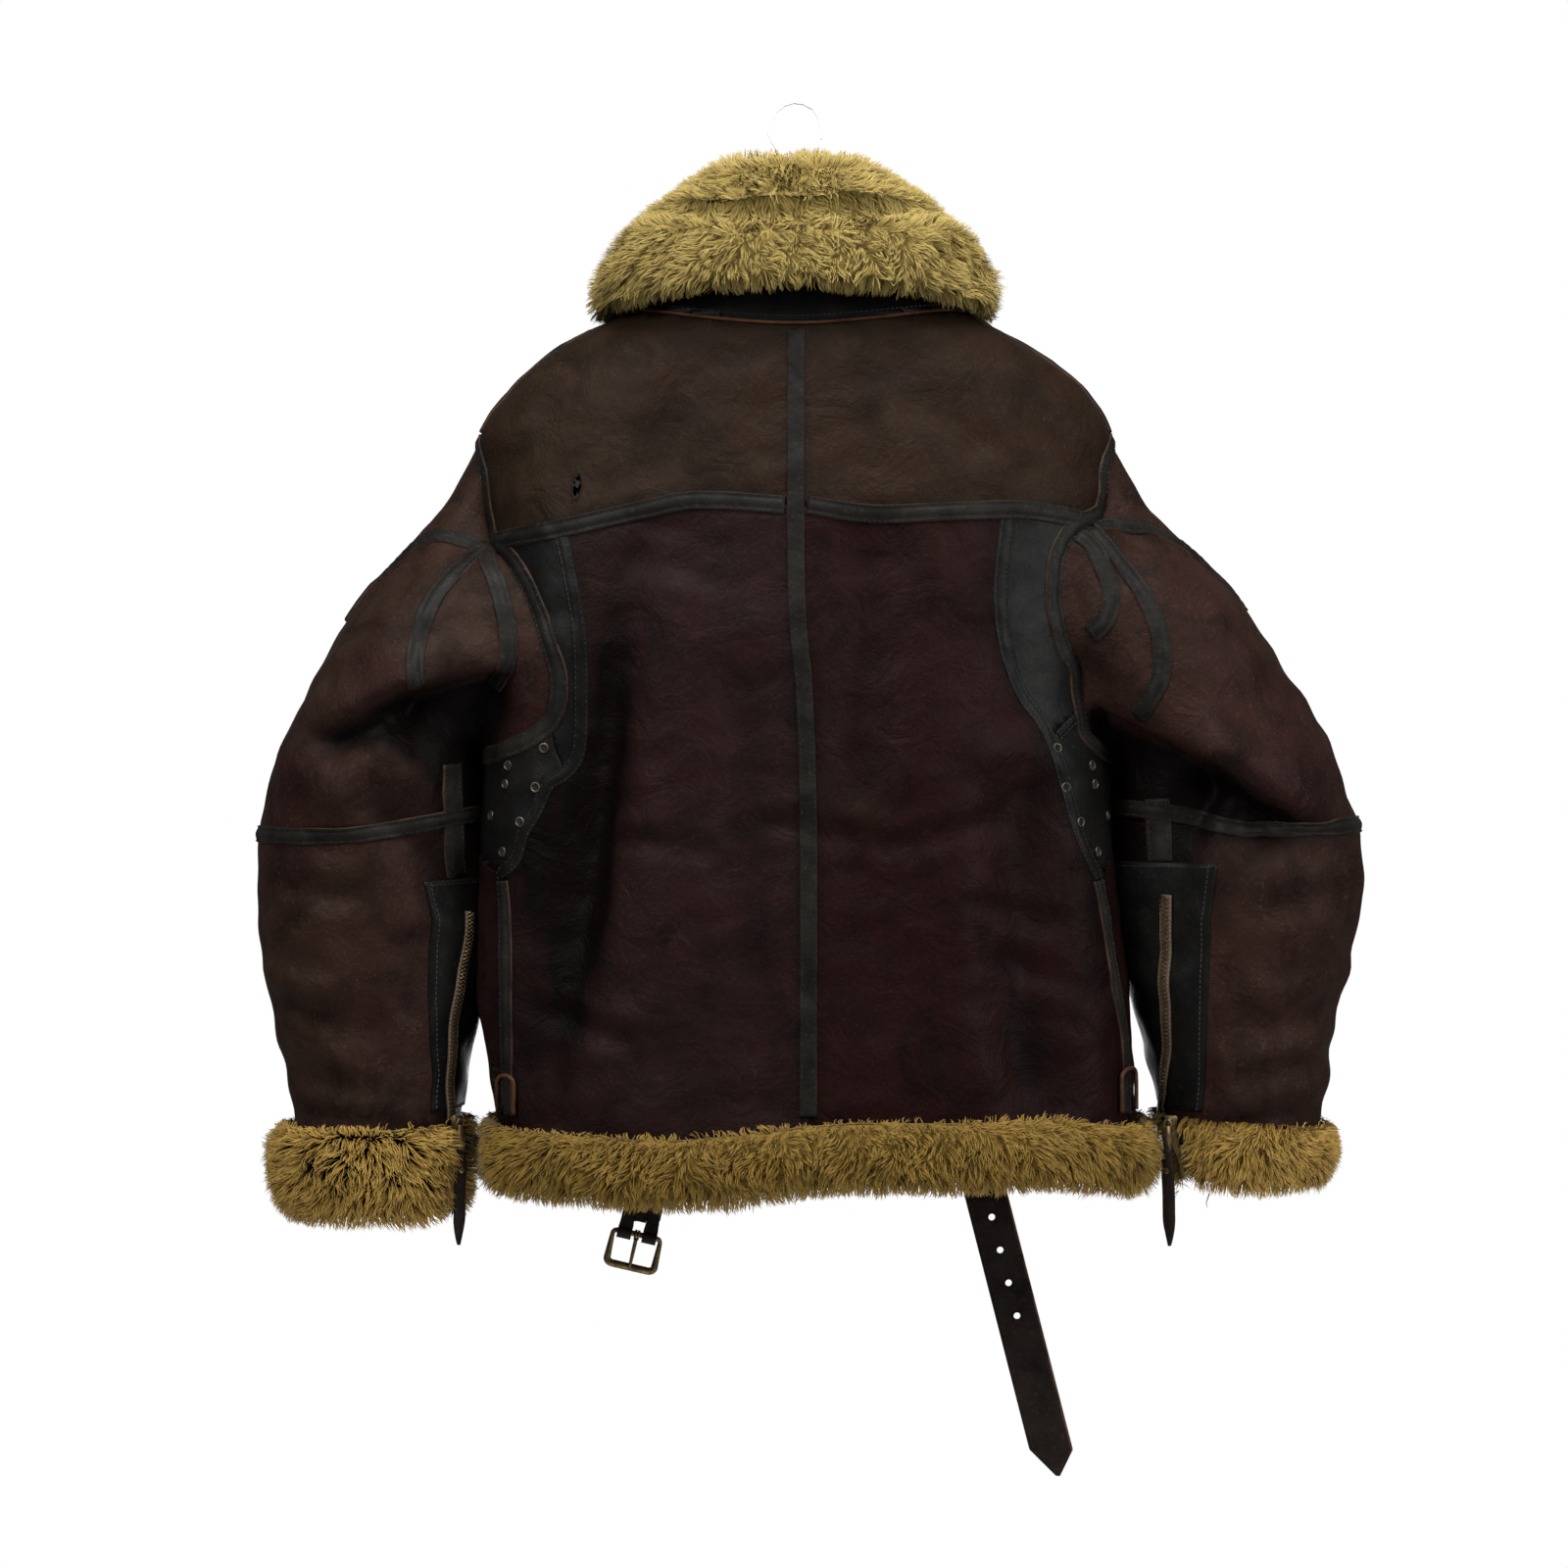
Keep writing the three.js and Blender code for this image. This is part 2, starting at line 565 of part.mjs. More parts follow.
// Sleeves in two pieces, parted at the elbow, kept clear of the body and of the armhole tape
function makeSleeve(side) {
  const keepOut = openArms(bodyWall(-SKIN - SEAM, LIFT + TAPE_THICK + SEAM), SEAM);
  const upper = sleeveWall(side, UPPER_ROWS, -SKIN, 0).subtract(keepOut);
  addPiece(`sleeve_upper_${side}`, toGeometry(largest(upper)), 'leather');
  addPiece(`sleeve_lower_${side}`, toGeometry(sleeveWall(side, LOWER_ROWS, -SKIN, 0)), 'leather');
  const layer = sleeveWall(side, [...UPPER_ROWS, ...LOWER_ROWS], LIFT, LIFT + TAPE_THICK).subtract(keepOut);
  const forearm = widen(FOREARM_LINES[side], TAPE_HALF);
  addPiece(`tape_forearm_${side}`, toGeometry(largest(layer.intersect(backPrism(forearm)))), 'tape');
  const elbowRows = [ELBOW - ELBOW_TAPE, ELBOW, ELBOW + ELBOW_TAPE];
  const elbow = sleeveWall(side, elbowRows, LIFT, LIFT + TAPE_THICK);
  const around = backPrism(widen(stretch(FOREARM_LINES[side], 5, 5), TAPE_HALF + SEAM));
  addPiece(`tape_elbow_${side}`, toGeometry(largest(elbow.subtract(around))), 'tape');
  GUSSET_LINES[side].forEach((line, i) => {
    const strip = layer.intersect(backPrism(widen(line, TAPE_HALF)));
    addPiece(`tape_gusset_${side}_${i + 1}`, toGeometry(largest(strip)), 'tape');
  });
  const top = layer.intersect(bothPrism(widen(TOP_LINES[side], TAPE_HALF)));
  const gussets = GUSSET_LINES[side].map((line) => backPrism(widen(stretch(line, 4, 1), TAPE_HALF + SEAM)));
  const clearTop = gussets.reduce((solid, gusset) => solid.subtract(gusset), top);
  addPiece(`tape_sleeve_${side}`, toGeometry(largest(clearTop)), 'tape');
  const panel = largest(layer.intersect(backPrism(ZIP_PANELS[side])));
  addPiece(`zip_panel_${side}`, toGeometry(panel), 'black');
  const high = sleeveWall(side, LOWER_ROWS, 2 * LIFT + TAPE_THICK, 2 * LIFT + 2 * TAPE_THICK);
  addPiece(`zip_${side}`, toGeometry(largest(high.intersect(backPrism(widen(ZIP_LINES[side], 5))))), 'brass');
}

// Fur band of a cuff: place along the sleeve, distance from its surface, share of the band's length
const CUFF_FUR = [
  [10.6, 0.6, 0], [10.6, 11, 0], [10.85, 18, 0], [11, 20, 0.33], [11, 16, 0.78], [11, 4, 1],
  [11, -9, 0.9], [11, -9, 0.012], [11, 0.6, 0.012],
];
const ZIP_STEP = { left: 8.66, right: 8.42 };
const ZIP_GAP = 0.6;
const PRESSED = { left: 0.62, right: 0.28 };

function makeCuffFur(side) {
  const first = ZIP_STEP[side] + ZIP_GAP;
  const last = ZIP_STEP[side] - ZIP_GAP + SLEEVE_STEPS;
  const steps = [first];
  for (let step = Math.ceil(first); step < last; step += 1) steps.push(step);
  steps.push(last);
  const loops = steps.map((step) => {
    const inward = (1 - Math.cos((step / SLEEVE_STEPS) * 2 * Math.PI)) / 2;
    const squeeze = 1 - (1 - PRESSED[side]) * inward ** 2;
    return CUFF_FUR.map(([place, off, drop]) => {
      const point = sleevePoint(side, place, step, off > 1 ? off * squeeze : off);
      point.z -= drop * CUFF_FUR_LENGTH[side];
      return point;
    });
  });
  addPiece(`cuff_fur_${side}`, skinLoops(loops, false), 'fur');
}

// Fur band of the hem: distance from the body's surface, height
const HEM_FUR = [
  [0.6, -721], [10, -719], [18, -730], [21, -748], [15, -764], [4, -771], [-9, -768], [-9, -735.7],
  [0.6, -735.7],
];
const HEM_GAP = 0.03;
const HEM_SIDE = 0.8;

function makeHemFur() {
  const quarter = BODY_STEPS / 4;
  const angles = [HEM_GAP - Math.PI / 2];
  for (let i = 0; i < BODY_STEPS; i += 1) {
    angles.push(((i + 0.5 - quarter) / BODY_STEPS) * 2 * Math.PI);
  }
  angles.push(1.5 * Math.PI - HEM_GAP);
  const loops = angles.map((angle) => {
    const squeeze = 1 - (1 - HEM_SIDE) * Math.cos(angle) ** 4;
    return HEM_FUR.map(([off, z]) => {
      const level = Math.max(z, HEM_Z);
      const out = off > 1 ? off * squeeze : off;
      const point = bodyPoint(angle, level).addScaledVector(bodyNormal(angle, Math.max(z, HEM_Z + 5)), out);
      point.z = z;
      return point;
    });
  });
  addPiece('hem_fur', skinLoops(loops, false), 'fur');
}

// Folded collar: its section from the foot inside, over the fold, down the fall and up the slot
const COLLAR = [
  { z: -127.5, half: 66, back: 50, front: 60 },
  { z: -92, half: 52, back: 44, front: 56 },
  { z: -60, half: 54, back: 48, front: 60 },
  { z: -45, half: 66, back: 60, front: 70 },
  { z: -51, half: 85, back: 76, front: 84 },
  { z: -69, half: 106, back: 89, front: 98 },
  { z: -100, half: 131, back: 101, front: 112 },
  { z: -138, half: 144, back: 107, front: 120 },
  { z: -150, half: 139, back: 98, front: 114 },
  { z: -147, half: 120, back: 81, front: 97 },
  { z: -108, half: 105, back: 77, front: 90 },
  { z: -82, half: 84, back: 67, front: 78 },
  { z: -96, half: 77, back: 62, front: 72 },
  { z: -127.5, half: 83, back: 65, front: 75 },
];
const COLLAR_STEPS = 24;
const COLLAR_REACH = 2.76;

function makeCollar() {
  const loops = [];
  for (let i = 0; i <= COLLAR_STEPS; i += 1) {
    const angle = Math.PI / 2 - COLLAR_REACH + (2 * COLLAR_REACH * i) / COLLAR_STEPS;
    loops.push(COLLAR.map((row) => ovalPoint({ middle: 0, ...row }, angle, row.z)));
  }
  addPiece('collar_fur', skinLoops(loops, false), 'fur');
}

// Hanger arms follow the inside of the shoulders
const HANGER_TOP = [[-196, -190], [-150, -160], [-90, -136], [-30, -134], [0, -133]];
const HANGER_FOOT = [[0, -152], [-30, -154], [-90, -172], [-150, -198], [-196, -226]];
const HANGER_HALF = 7;
const HOOK_RADIUS = 1.75;
const HOOK_ROUTE = [
  [0, -132.6], [0, -90], [0, -58], [-5, -42], [-13.6, -31.1], [-19.25, -17.5], [-13.6, -3.9], [0, 1.75],
  [13.6, -3.9], [19.25, -17.5], [18.1, -25],
];

function makeHanger() {
  const mirror = (line) => line.map(([x, z]) => [-x, z]).reverse();
  const top = [...HANGER_TOP, ...mirror(HANGER_TOP).slice(1)];
  const outline = [...top, ...mirror(HANGER_FOOT), ...HANGER_FOOT.slice(1)];
  const rings = BODY.slice(0, 8).map((row) => {
    const ring = [];
    for (let i = 0; i < BODY_STEPS; i += 1) {
      const angle = ((i + 0.5) / BODY_STEPS) * 2 * Math.PI;
      ring.push(bodyPoint(angle, row.z).addScaledVector(bodyNormal(angle, row.z), -SKIN - 0.5));
    }
    return ring;
  });
  const inside = toSolid(skinLoops(rings, false));
  addPiece('hanger', toGeometry(prism(outline, -HANGER_HALF, HANGER_HALF).intersect(inside)), 'white');
  const route = new THREE.CatmullRomCurve3(HOOK_ROUTE.map(([x, z]) => new THREE.Vector3(x, 0, z)));
  const section = new THREE.Shape();
  section.absarc(0, 0, HOOK_RADIUS, 0, 2 * Math.PI);
  const hook = new THREE.ExtrudeGeometry(section, { steps: 24, curveSegments: 4, extrudePath: route });
  addPiece('hook', toGeometry(toSolid(hook)), 'white');
}

// Belt straps: height, distance from the front, half width
const STRAP_TOP = [
  [-686, 0.6, 14], [-692, 0.6, STRAP_HALF], [-700, 0.8, STRAP_HALF], [-712, 15, STRAP_HALF],
  [-722, 23, STRAP_HALF], [-738, 27, STRAP_HALF], [-770, 27, STRAP_HALF],
];
const LONG_STRAP = [
  ...STRAP_TOP, [-810, 27, STRAP_HALF], [-860, 27, STRAP_HALF], [-930, 27, STRAP_HALF],
  [-990, 27, STRAP_HALF], [-1003, 27, 10], [-1008, 27, 3],
];
const SHORT_STRAP = [...STRAP_TOP, [-800, 27, 15], [-816, 27, 15]];
const LONG_X = { x: 145.3, z: -800.7, lean: -0.2558 };
const SHORT_X = { x: -116, z: -812, lean: 0.231 };
const STRAP_Y = 128;
const FLAT_FROM = -740;
const FLAT_TO = -800;
const BELT_HOLES = [-812.5, -837.3, -862.1, -886.9];

function strapSolid(rows, place) {
  const loops = rows.map(([z, lift, half]) => {
    const middle = place.x + place.lean * (z - place.z);
    const flat = Math.min(1, Math.max(0, (FLAT_FROM - z) / (FLAT_FROM - FLAT_TO)));
    const at = (x, off) => {
      const near = bodyDepth(x, Math.max(z, HEM_Z), false) + lift;
      return new THREE.Vector3(x, near + (STRAP_Y - near) * flat + off, z);
    };
    const across = [middle - half, middle, middle + half];
    return [...across.map((x) => at(x, 0)), ...across.reverse().map((x) => at(x, STRAP_THICK))];
  });
  return toSolid(skinLoops(loops, false));
}

function roundBar(radius, length, sides) {
  const bar = new THREE.CylinderGeometry(radius, radius, length, sides);
  bar.rotateZ(Math.PI / 2);
  return toSolid(bar);
}

function block(width, depth, height, x, y, z) {
  const box = new THREE.BoxGeometry(width, depth, height);
  box.translate(x, y, z);
  return toSolid(box);
}

const TILT = 13;
const BAR_PLACE = [-119.3, 129.5, -826];
const FRAME_HALF = 20;
const FRAME_DROP = 28;
const FRAME_BAR = 3.5;
const FRAME_FOOT = 6.5;
const LOOP_HALF = 15;
const LOOP_OUTER = 5;
const PRONG_OUTER = 4.2;

function makeBelt() {
  const holes = BELT_HOLES.map((z) => {
    const x = LONG_X.x + LONG_X.lean * (z - LONG_X.z);
    const outline = [];
    for (let i = 0; i < 8; i += 1) {
      const turn = (i * Math.PI) / 4;
      outline.push([x + HOLE_RADIUS * Math.cos(turn), z + HOLE_RADIUS * Math.sin(turn)]);
    }
    return frontPrism(outline);
  });
  const long = holes.reduce((solid, hole) => solid.subtract(hole), strapSolid(LONG_STRAP, LONG_X));
  addPiece('belt_strap', toGeometry(long), 'strap');
  const place = (solid) => solid.rotate([0, TILT, 0]).translate(BAR_PLACE);
  const bore = roundBar(BAR_RADIUS + BAR_CLEAR, 60, 16);
  const prongRoom = block(8, 14, 13, 0, 0, 0.5);
  const end = roundBar(LOOP_OUTER, 2 * LOOP_HALF, 16)
    .add(block(2 * LOOP_HALF, 2 * STRAP_THICK - 0.6, 16, 0, 0, 9))
    .subtract(bore)
    .subtract(prongRoom);
  const slot = place(prongRoom);
  const short = strapSolid(SHORT_STRAP, SHORT_X).subtract(slot).add(place(end));
  addPiece('buckle_strap', toGeometry(largest(short)), 'strap');
  const inner = FRAME_HALF - FRAME_BAR;
  const foot = -FRAME_DROP + FRAME_FOOT;
  const outline = [
    [-FRAME_HALF, 2], [-inner, 2], [-inner, foot], [inner, foot], [inner, 2], [FRAME_HALF, 2],
    [FRAME_HALF, -FRAME_DROP], [-FRAME_HALF, -FRAME_DROP],
  ];
  const frame = prism(outline, -BAR_RADIUS, BAR_RADIUS).add(roundBar(BAR_RADIUS, 2 * inner + 2, 12));
  addPiece('buckle_frame', toGeometry(place(frame)), 'brass');
  const shaft = block(3.2, PRONG_OUTER - 2.4, 26.5, 0, -(PRONG_OUTER + 2.4) / 2, -13.25);
  const prong = roundBar(PRONG_OUTER, 5, 16).add(shaft).subtract(bore);
  addPiece('buckle_prong', toGeometry(place(prong)), 'brass');
}

// Slider, pull tab and thong, placed where the zip ends: width, thickness, length, distance out, top height
const SLIDER_ROW = 10.45;
const FACE_SHARE = 0.65;
const SLIDER_SEAT = { left: -1.3, right: 0 };
const SLIDER = [9, 5, 13, 6.3, -719];
const CUFF_TAB = [7, 1.6, 26, 11.6, -722];
const THONG = [10, 2.4, 62, 11.2, -748.3];
const FRONT_SLIDER = [9, 5, 14, 2.2, -166];
const FRONT_PULL = [7, 1.8, 30, 7.6, -173];

function hungBlock([width, thick, length, off, top], base, turn) {
  const box = new THREE.BoxGeometry(width, thick, length);
  box.translate(0, -off - thick / 2, top - length / 2);
  box.rotateZ(turn);
  box.translate(base.x, base.y, 0);
  return box;
}

function makeZips() {
  SIDES.forEach((side) => {
    const base = sleevePoint(side, SLIDER_ROW, ZIP_STEP[side], 0);
    const out = sleevePoint(side, SLIDER_ROW, ZIP_STEP[side], 10).sub(base);
    const turn = FACE_SHARE * Math.atan2(out.x, -out.y);
    base.addScaledVector(new THREE.Vector3(Math.sin(turn), -Math.cos(turn), 0), SLIDER_SEAT[side]);
    addPiece(`zip_slider_${side}`, hungBlock(SLIDER, base, turn), 'brass');
    addPiece(`zip_tab_${side}`, hungBlock(CUFF_TAB, base, turn), 'brass');
    addPiece(`zip_thong_${side}`, hungBlock(THONG, base, turn), 'strap');
  });
  const chest = new THREE.Vector3(0, bodyDepth(0, FRONT_PULL[4], false), 0);
  addPiece('front_slider', hungBlock(FRONT_SLIDER, chest, Math.PI), 'brass');
  addPiece('front_pull', hungBlock(FRONT_PULL, chest, Math.PI), 'brass');
}

makeHanger();
makeBody();
makeBodyTapes();
SIDES.forEach(makeSleeve);
makeCollar();
makeHemFur();
SIDES.forEach(makeCuffFur);
makeZips();
makeBelt();

export default group;
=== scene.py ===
# Sheepskin flying jacket on a plain hanger, seen from behind.
# Tables and lengths are in millimetres and are turned into metres as meshes are made.
import math

import bpy
import numpy as np
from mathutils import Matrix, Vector
from mathutils.bvhtree import BVHTree
from mathutils.kdtree import KDTree


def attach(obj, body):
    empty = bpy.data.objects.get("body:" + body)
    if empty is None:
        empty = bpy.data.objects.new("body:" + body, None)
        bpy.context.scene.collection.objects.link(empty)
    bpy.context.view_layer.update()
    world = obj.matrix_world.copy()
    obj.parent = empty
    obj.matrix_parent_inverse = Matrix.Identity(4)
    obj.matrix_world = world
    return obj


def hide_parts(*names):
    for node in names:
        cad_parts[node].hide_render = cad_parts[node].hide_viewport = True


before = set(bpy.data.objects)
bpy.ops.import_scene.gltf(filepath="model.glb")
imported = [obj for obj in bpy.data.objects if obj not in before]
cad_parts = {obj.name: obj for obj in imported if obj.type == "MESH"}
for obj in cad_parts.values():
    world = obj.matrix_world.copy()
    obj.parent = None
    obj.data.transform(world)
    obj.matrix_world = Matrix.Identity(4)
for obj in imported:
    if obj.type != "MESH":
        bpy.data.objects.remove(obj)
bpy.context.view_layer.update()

MM = 0.001
SIDES = ("left", "right")
SIGN = {"left": -1, "right": 1}

# Driving sizes
SKIN = 3.0
TAPE_HALF = 6.0
ROUNDNESS = 2.7
# Size of a grid's cells, girth of the body and of a sleeve, and length of a sleeve between two of its rows
CELL = 4.2
BODY_GIRTH = 1130
SLEEVE_GIRTH = 520
SLEEVE_ROW = 44
ARMHOLE_GAP = 0.8
HOLE_X = 245
HOLE_Z = -352
HEAD_ROWS = 3
HEM_Z = -735
ELBOW = 6
CUFF = 11

# Body sections: height, middle, half width, depth behind, depth in front
BODY = np.array([
    (-128, 0, 84, 66, 76),
    (-148, 0, 110, 70, 84),
    (-178, -2, 171, 76, 86),
    (-206, 0, 205, 82, 88),
    (-239, 0, 227, 88, 92),
    (-275, 0, 223, 95, 98),
    (-311, 1, 219, 100, 102),
    (-360, 1, 215, 106, 106),
    (-416, 0, 214, 109, 109),
    (-458, 0, 217, 110, 110),
    (-521, -1, 219, 110, 112),
    (-591, 2, 224, 111, 114),
    (-661, 7, 231, 113, 116),
    (-696, 11, 230, 114, 117),
    (-735, 17, 226, 115, 118),
], dtype=float)

# Seam lines as seen from behind: x, z
STAY_LINE = [(-108, -155), (-53, -164), (2, -167), (56, -163), (111, -154)]
CENTRE_LINE = [(0, -171), (0, -352), (5, -419), (8, -506), (8, -712)]
FRONT_LINE = [(0, -128), (2, -560), (11, -735)]
YOKE = {
    "left": [(-216, -317), (-204, -315), (-164, -310), (-106, -298), (-76, -292), (-49, -292), (0, -295)],
    "right": [(0, -295), (39, -300), (68, -301), (126, -298), (157, -297), (192, -301), (213, -305)],
}
ARMHOLE = {
    "left": [(-226.5, -243), (-221, -271), (-217, -300), (-212, -318), (-197, -335), (-183, -362),
             (-171, -396), (-167, -415), (-171, -437), (-187, -452), (-206, -460), (-217, -462)],
    "right": [(226.5, -243), (218, -267), (214, -294), (209, -302), (192, -313), (183, -334),
              (182, -362), (188, -388), (197, -404), (200, -426), (204, -452), (217, -462)],
}
SIDE_SEAM = {
    "left": [(-205, -548), (-202, -588), (-201, -694), (-196, -745)],
    "right": [(209, -548), (215, -580), (223, -631), (229, -665), (231, -745)],
}
PATCH_LINE = {
    "left": [(-163, -310), (-156, -342), (-149, -384), (-148, -427), (-150, -464), (-160, -479),
             (-171, -486), (-180, -505), (-189, -520), (-194, -537)],
    "right": [(146, -298), (140, -350), (143, -389), (154, -422), (169, -443), (181, -470), (196, -520)],
}
VENT_OUTLINE = {
    "left": [(-172, -436), (-168, -462), (-161, -480), (-150, -520), (-205, -548), (-300, -480),
             (-300, -436)],
    "right": [(200, -436), (178, -452), (170, -480), (160, -520), (209, -548), (300, -480), (300, -436)],
}
PATCH_FOOT = -487
EYELETS = [(-174, -461), (-200, -473), (-202, -486), (-180, -488), (-213, -508), (-191, -512), (-204, -533)]

# Sleeve sections from armhole to cuff: outer edge x and z, inner edge x and z, half depth
SLEEVE = {
    "left": np.array([
        (-227, -243.8, -217.5, -461, 84), (-250, -284, -222, -462, 88), (-281, -321, -224, -464, 90),
        (-316, -365, -225, -469, 92), (-346, -416, -225, -480, 92), (-367, -468, -225, -494, 88),
        (-381, -521, -225, -512, 82), (-382, -570, -226, -559, 78), (-379, -612, -228, -601, 74),
        (-371, -657, -231, -647, 70), (-361, -699, -236, -692, 64), (-355, -738, -241, -738, 58),
    ], dtype=float),
    "right": np.array([
        (227, -243.8, 217.5, -461, 84), (252, -288, 222, -462, 88), (284, -322, 224, -464, 90),
        (318, -362, 225, -469, 92), (352, -412, 226, -480, 92), (382, -465, 227, -494, 88),
        (400, -514, 229, -512, 82), (404, -560, 233, -559, 78), (395, -610, 239, -601, 74),
        (382, -660, 246, -647, 70), (380, -698, 256, -692, 64), (370, -738, 269, -738, 56),
    ], dtype=float),
}

# Creases as seen from one side: both ends, depth (a ridge where negative), half width
BACK_CREASES = [
    ((-84, -360), (-98, -640), -4, 22),
    ((-30, -420), (-22, -700), 4, 22),
    ((52, -330), (40, -470), 5, 20),
    ((96, -430), (104, -690), -3, 30),
    ((150, -500), (168, -690), 6, 20),
    ((-118, -524), (-62, -531), 2.2, 7),
    ((-20, -512), (58, -524), 1.8, 7),
    ((62, -530), (140, -512), 2.2, 8),
    ((-110, -330), (-58, -345), 1.6, 8),
    ((148, -606), (205, -632), 2.4, 8),
    ((120, -566), (176, -580), 1.8, 7),
    ((-182, -640), (-120, -660), 2.2, 8),
    ((-60, -200), (-96, -262), 2.2, 16),
    ((66, -196), (118, -250), 2.4, 16),
    ((-168, -232), (-204, -262), 2.5, 12),
    ((166, -224), (204, -258), 2.5, 12),
]
# Long troughs: x, z, depth, width on the outer side; they rise faster on the side of the middle
TROUGHS = [
    [(-114, -318, 0, 18), (-120, -370, 5, 22), (-130, -440, 13, 28), (-143, -520, 17, 30),
     (-156, -590, 15, 28), (-165, -650, 8, 24), (-170, -715, 3, 20)],
    [(122, -560, 0, 16), (132, -610, 5, 22), (150, -660, 7, 24), (168, -712, 4, 20)],
]
# Places darkened with painted shade where shadow falls: x, z, reach across, reach down, strength
BODY_SHADE_PATCHES = [
    (-190, -520, 26, 70, 0.75), (-128, -430, 12, 60, 0.6), (-146, -540, 18, 80, 0.8),
    (-160, -620, 16, 60, 0.6), (-186, -640, 20, 60, 0.4), (205, -560, 20, 120, 0.5),
    (186, -470, 22, 50, 0.6),
]
# Painted shadow on the sleeves, under their overhanging folds and along their inner sides, in the same
# columns
SLEEVE_SHADE_PATCHES = {
    "left": [(-262, -446, 34, 24, 1.0), (-234, -492, 28, 74, 1.0), (-300, -452, 30, 8, 0.4)],
    "right": [(262, -488, 52, 22, 1.0), (300, -508, 52, 12, 0.8), (246, -530, 30, 50, 0.9),
              (262, -560, 40, 30, 0.6)],
}
FRONT_CREASES = [
    ((-120, -420), (-108, -640), 7, 24),
    ((-60, -360), (-66, -600), -4, 28),
    ((64, -330), (58, -620), 5, 24),
    ((128, -440), (140, -690), 7, 24),
    ((-150, -530), (-80, -545), 2.4, 8),
    ((70, -520), (150, -536), 2.4, 8),
    ((-140, -250), (-90, -300), 3, 14),
    ((132, -246), (92, -306), 3, 14),
    ((-190, -640), (-130, -655), 2.2, 8),
    ((120, -600), (190, -622), 2.2, 8),
]

# Creases of the sleeves as seen from behind; the same ones lie on the hidden front
SLEEVE_CREASES = {
    "left": [
        ((-372, -640), (-300, -655), 4, 12),
        ((-340, -392), (-300, -372), 2.5, 10),
        ((-352, -556), (-300, -566), 2.5, 8),
        ((-376, -600), (-334, -616), 2.5, 9),
        ((-366, -684), (-300, -700), 2.8, 8),
        ((-350, -716), (-280, -722), 2.4, 7),
        ((-286, -500), (-244, -560), 5, 14),
        ((-262, -600), (-258, -700), 3, 12),
        ((-352, -470), (-318, -492), -4, 16),
        ((-250, -334), (-284, -376), -2.5, 14),
    ],
    "right": [
        ((392, -640), (310, -655), 4, 12),
        ((300, -352), (330, -392), -3, 16),
        ((340, -410), (300, -430), 3, 10),
        ((386, -560), (330, -572), 2.5, 9),
        ((392, -600), (336, -622), 2.8, 9),
        ((384, -676), (312, -690), 2.8, 8),
        ((372, -712), (300, -722), 2.4, 7),
        ((268, -520), (262, -600), 5, 14),
        ((290, -600), (286, -700), 3, 12),
        ((368, -470), (336, -462), -4, 16),
    ],
}
# Deep folds where the upper arm hangs over the elbow: ends, depth, fall below, rise above, width above
OVERHANGS = {
    "left": [((-318, -452), (-262, -430), 12, 17, 7, 18), ((-262, -432), (-214, -418), 22, 38, 6, 16)],
    "right": [
        ((216, -443), (284, -482), 24, 40, 9, 22),
        ((280, -480), (330, -508), 20, 30, 9, 20),
        ((326, -506), (364, -516), 9, 16, 5, 14),
    ],
}

# Strips sewn on the sleeves as seen from behind: x, z
GUSSET_LINES = {
    "left": [
        [(-226, -327), (-247, -352), (-258, -379), (-261, -400), (-259, -420)],
        [(-216, -327), (-206, -350), (-199, -380), (-199, -402), (-210, -418)],
    ],
    "right": [
        [(222, -328), (240, -356), (250, -384), (250, -412), (236, -440)],
        [(206, -321), (212, -335), (218, -355), (213, -374), (203, -383)],
    ],
}
FOREARM_LINES = {"left": [(-240, -472), (-238, -550)], "right": [(252, -496), (254, -540)]}
ZIP_PANEL_EDGES = {
    "left": [(-258, -554), (-255, -580), (-256, -640), (-254, -690), (-257, -716)],
    "right": [(291, -541), (287, -580), (285, -640), (284, -716)],
}
ZIP_PANEL_FOOT = -717
ZIP_LINES = {
    "left": [(-234, -576), (-237, -604), (-242, -645), (-245, -700), (-246, -722)],
    "right": [(258, -563), (261, -640), (263, -722)],
}
SIDE_TAPE = {
    "left": [(-204, -553), (-202, -588), (-201, -694), (-200, -716)],
    "right": [(210, -553), (215, -580), (223, -631), (229, -665), (231, -716)],
}
SIDE_LOOPS = {"left": [(-200, -688), (-200, -714)], "right": [(230, -684), (231, -714)]}
FRONT_TAPE = [(0, -150), (2, -560), (10, -716)]


# Small vector helpers
def unit(v):
    return v / np.maximum(np.linalg.norm(v, axis=-1, keepdims=True), 1e-9)


def smooth_table(rows, step=2.0, spread=7.0):
    """Rows over a first column of heights, made fine and rounded at their corners."""
    heights = np.arange(rows[0, 0], rows[-1, 0] - step, -step)
    fine = np.stack([np.interp(-heights, -rows[:, 0], column) for column in rows[:, 1:].T])
    reach = int(3 * spread / step)
    kernel = np.exp(-0.5 * (np.arange(-reach, reach + 1) * step / spread) ** 2)
    kernel /= kernel.sum()
    before = 2 * fine[:, :1] - fine[:, reach:0:-1]
    after = 2 * fine[:, -1:] - fine[:, -2:-reach - 2:-1]
    padded = np.concatenate([before, fine, after], axis=1)
    return heights, np.stack([np.convolve(row, kernel, "valid") for row in padded])


def spline(points, step):
    """A smooth line through points, as evenly spaced points about a step apart."""
    p = np.array(points, dtype=float)
    ends = np.concatenate([[2 * p[0] - p[1]], p, [2 * p[-1] - p[-2]]])
    t = np.linspace(0, 1, 24, endpoint=False)[:, None]
    fine = [through(t, *four) for four in zip(ends, ends[1:], ends[2:], ends[3:])]
    return resample(np.concatenate(fine + [p[-1:]]), step)


def through(t, a, b, c, d):
    """A place between b and c, at a share t, on the smooth curve through four rows."""
    return b + 0.5 * t * (c - a + t * (2 * a - 5 * b + 4 * c - d + t * (3 * (b - c) + d - a)))


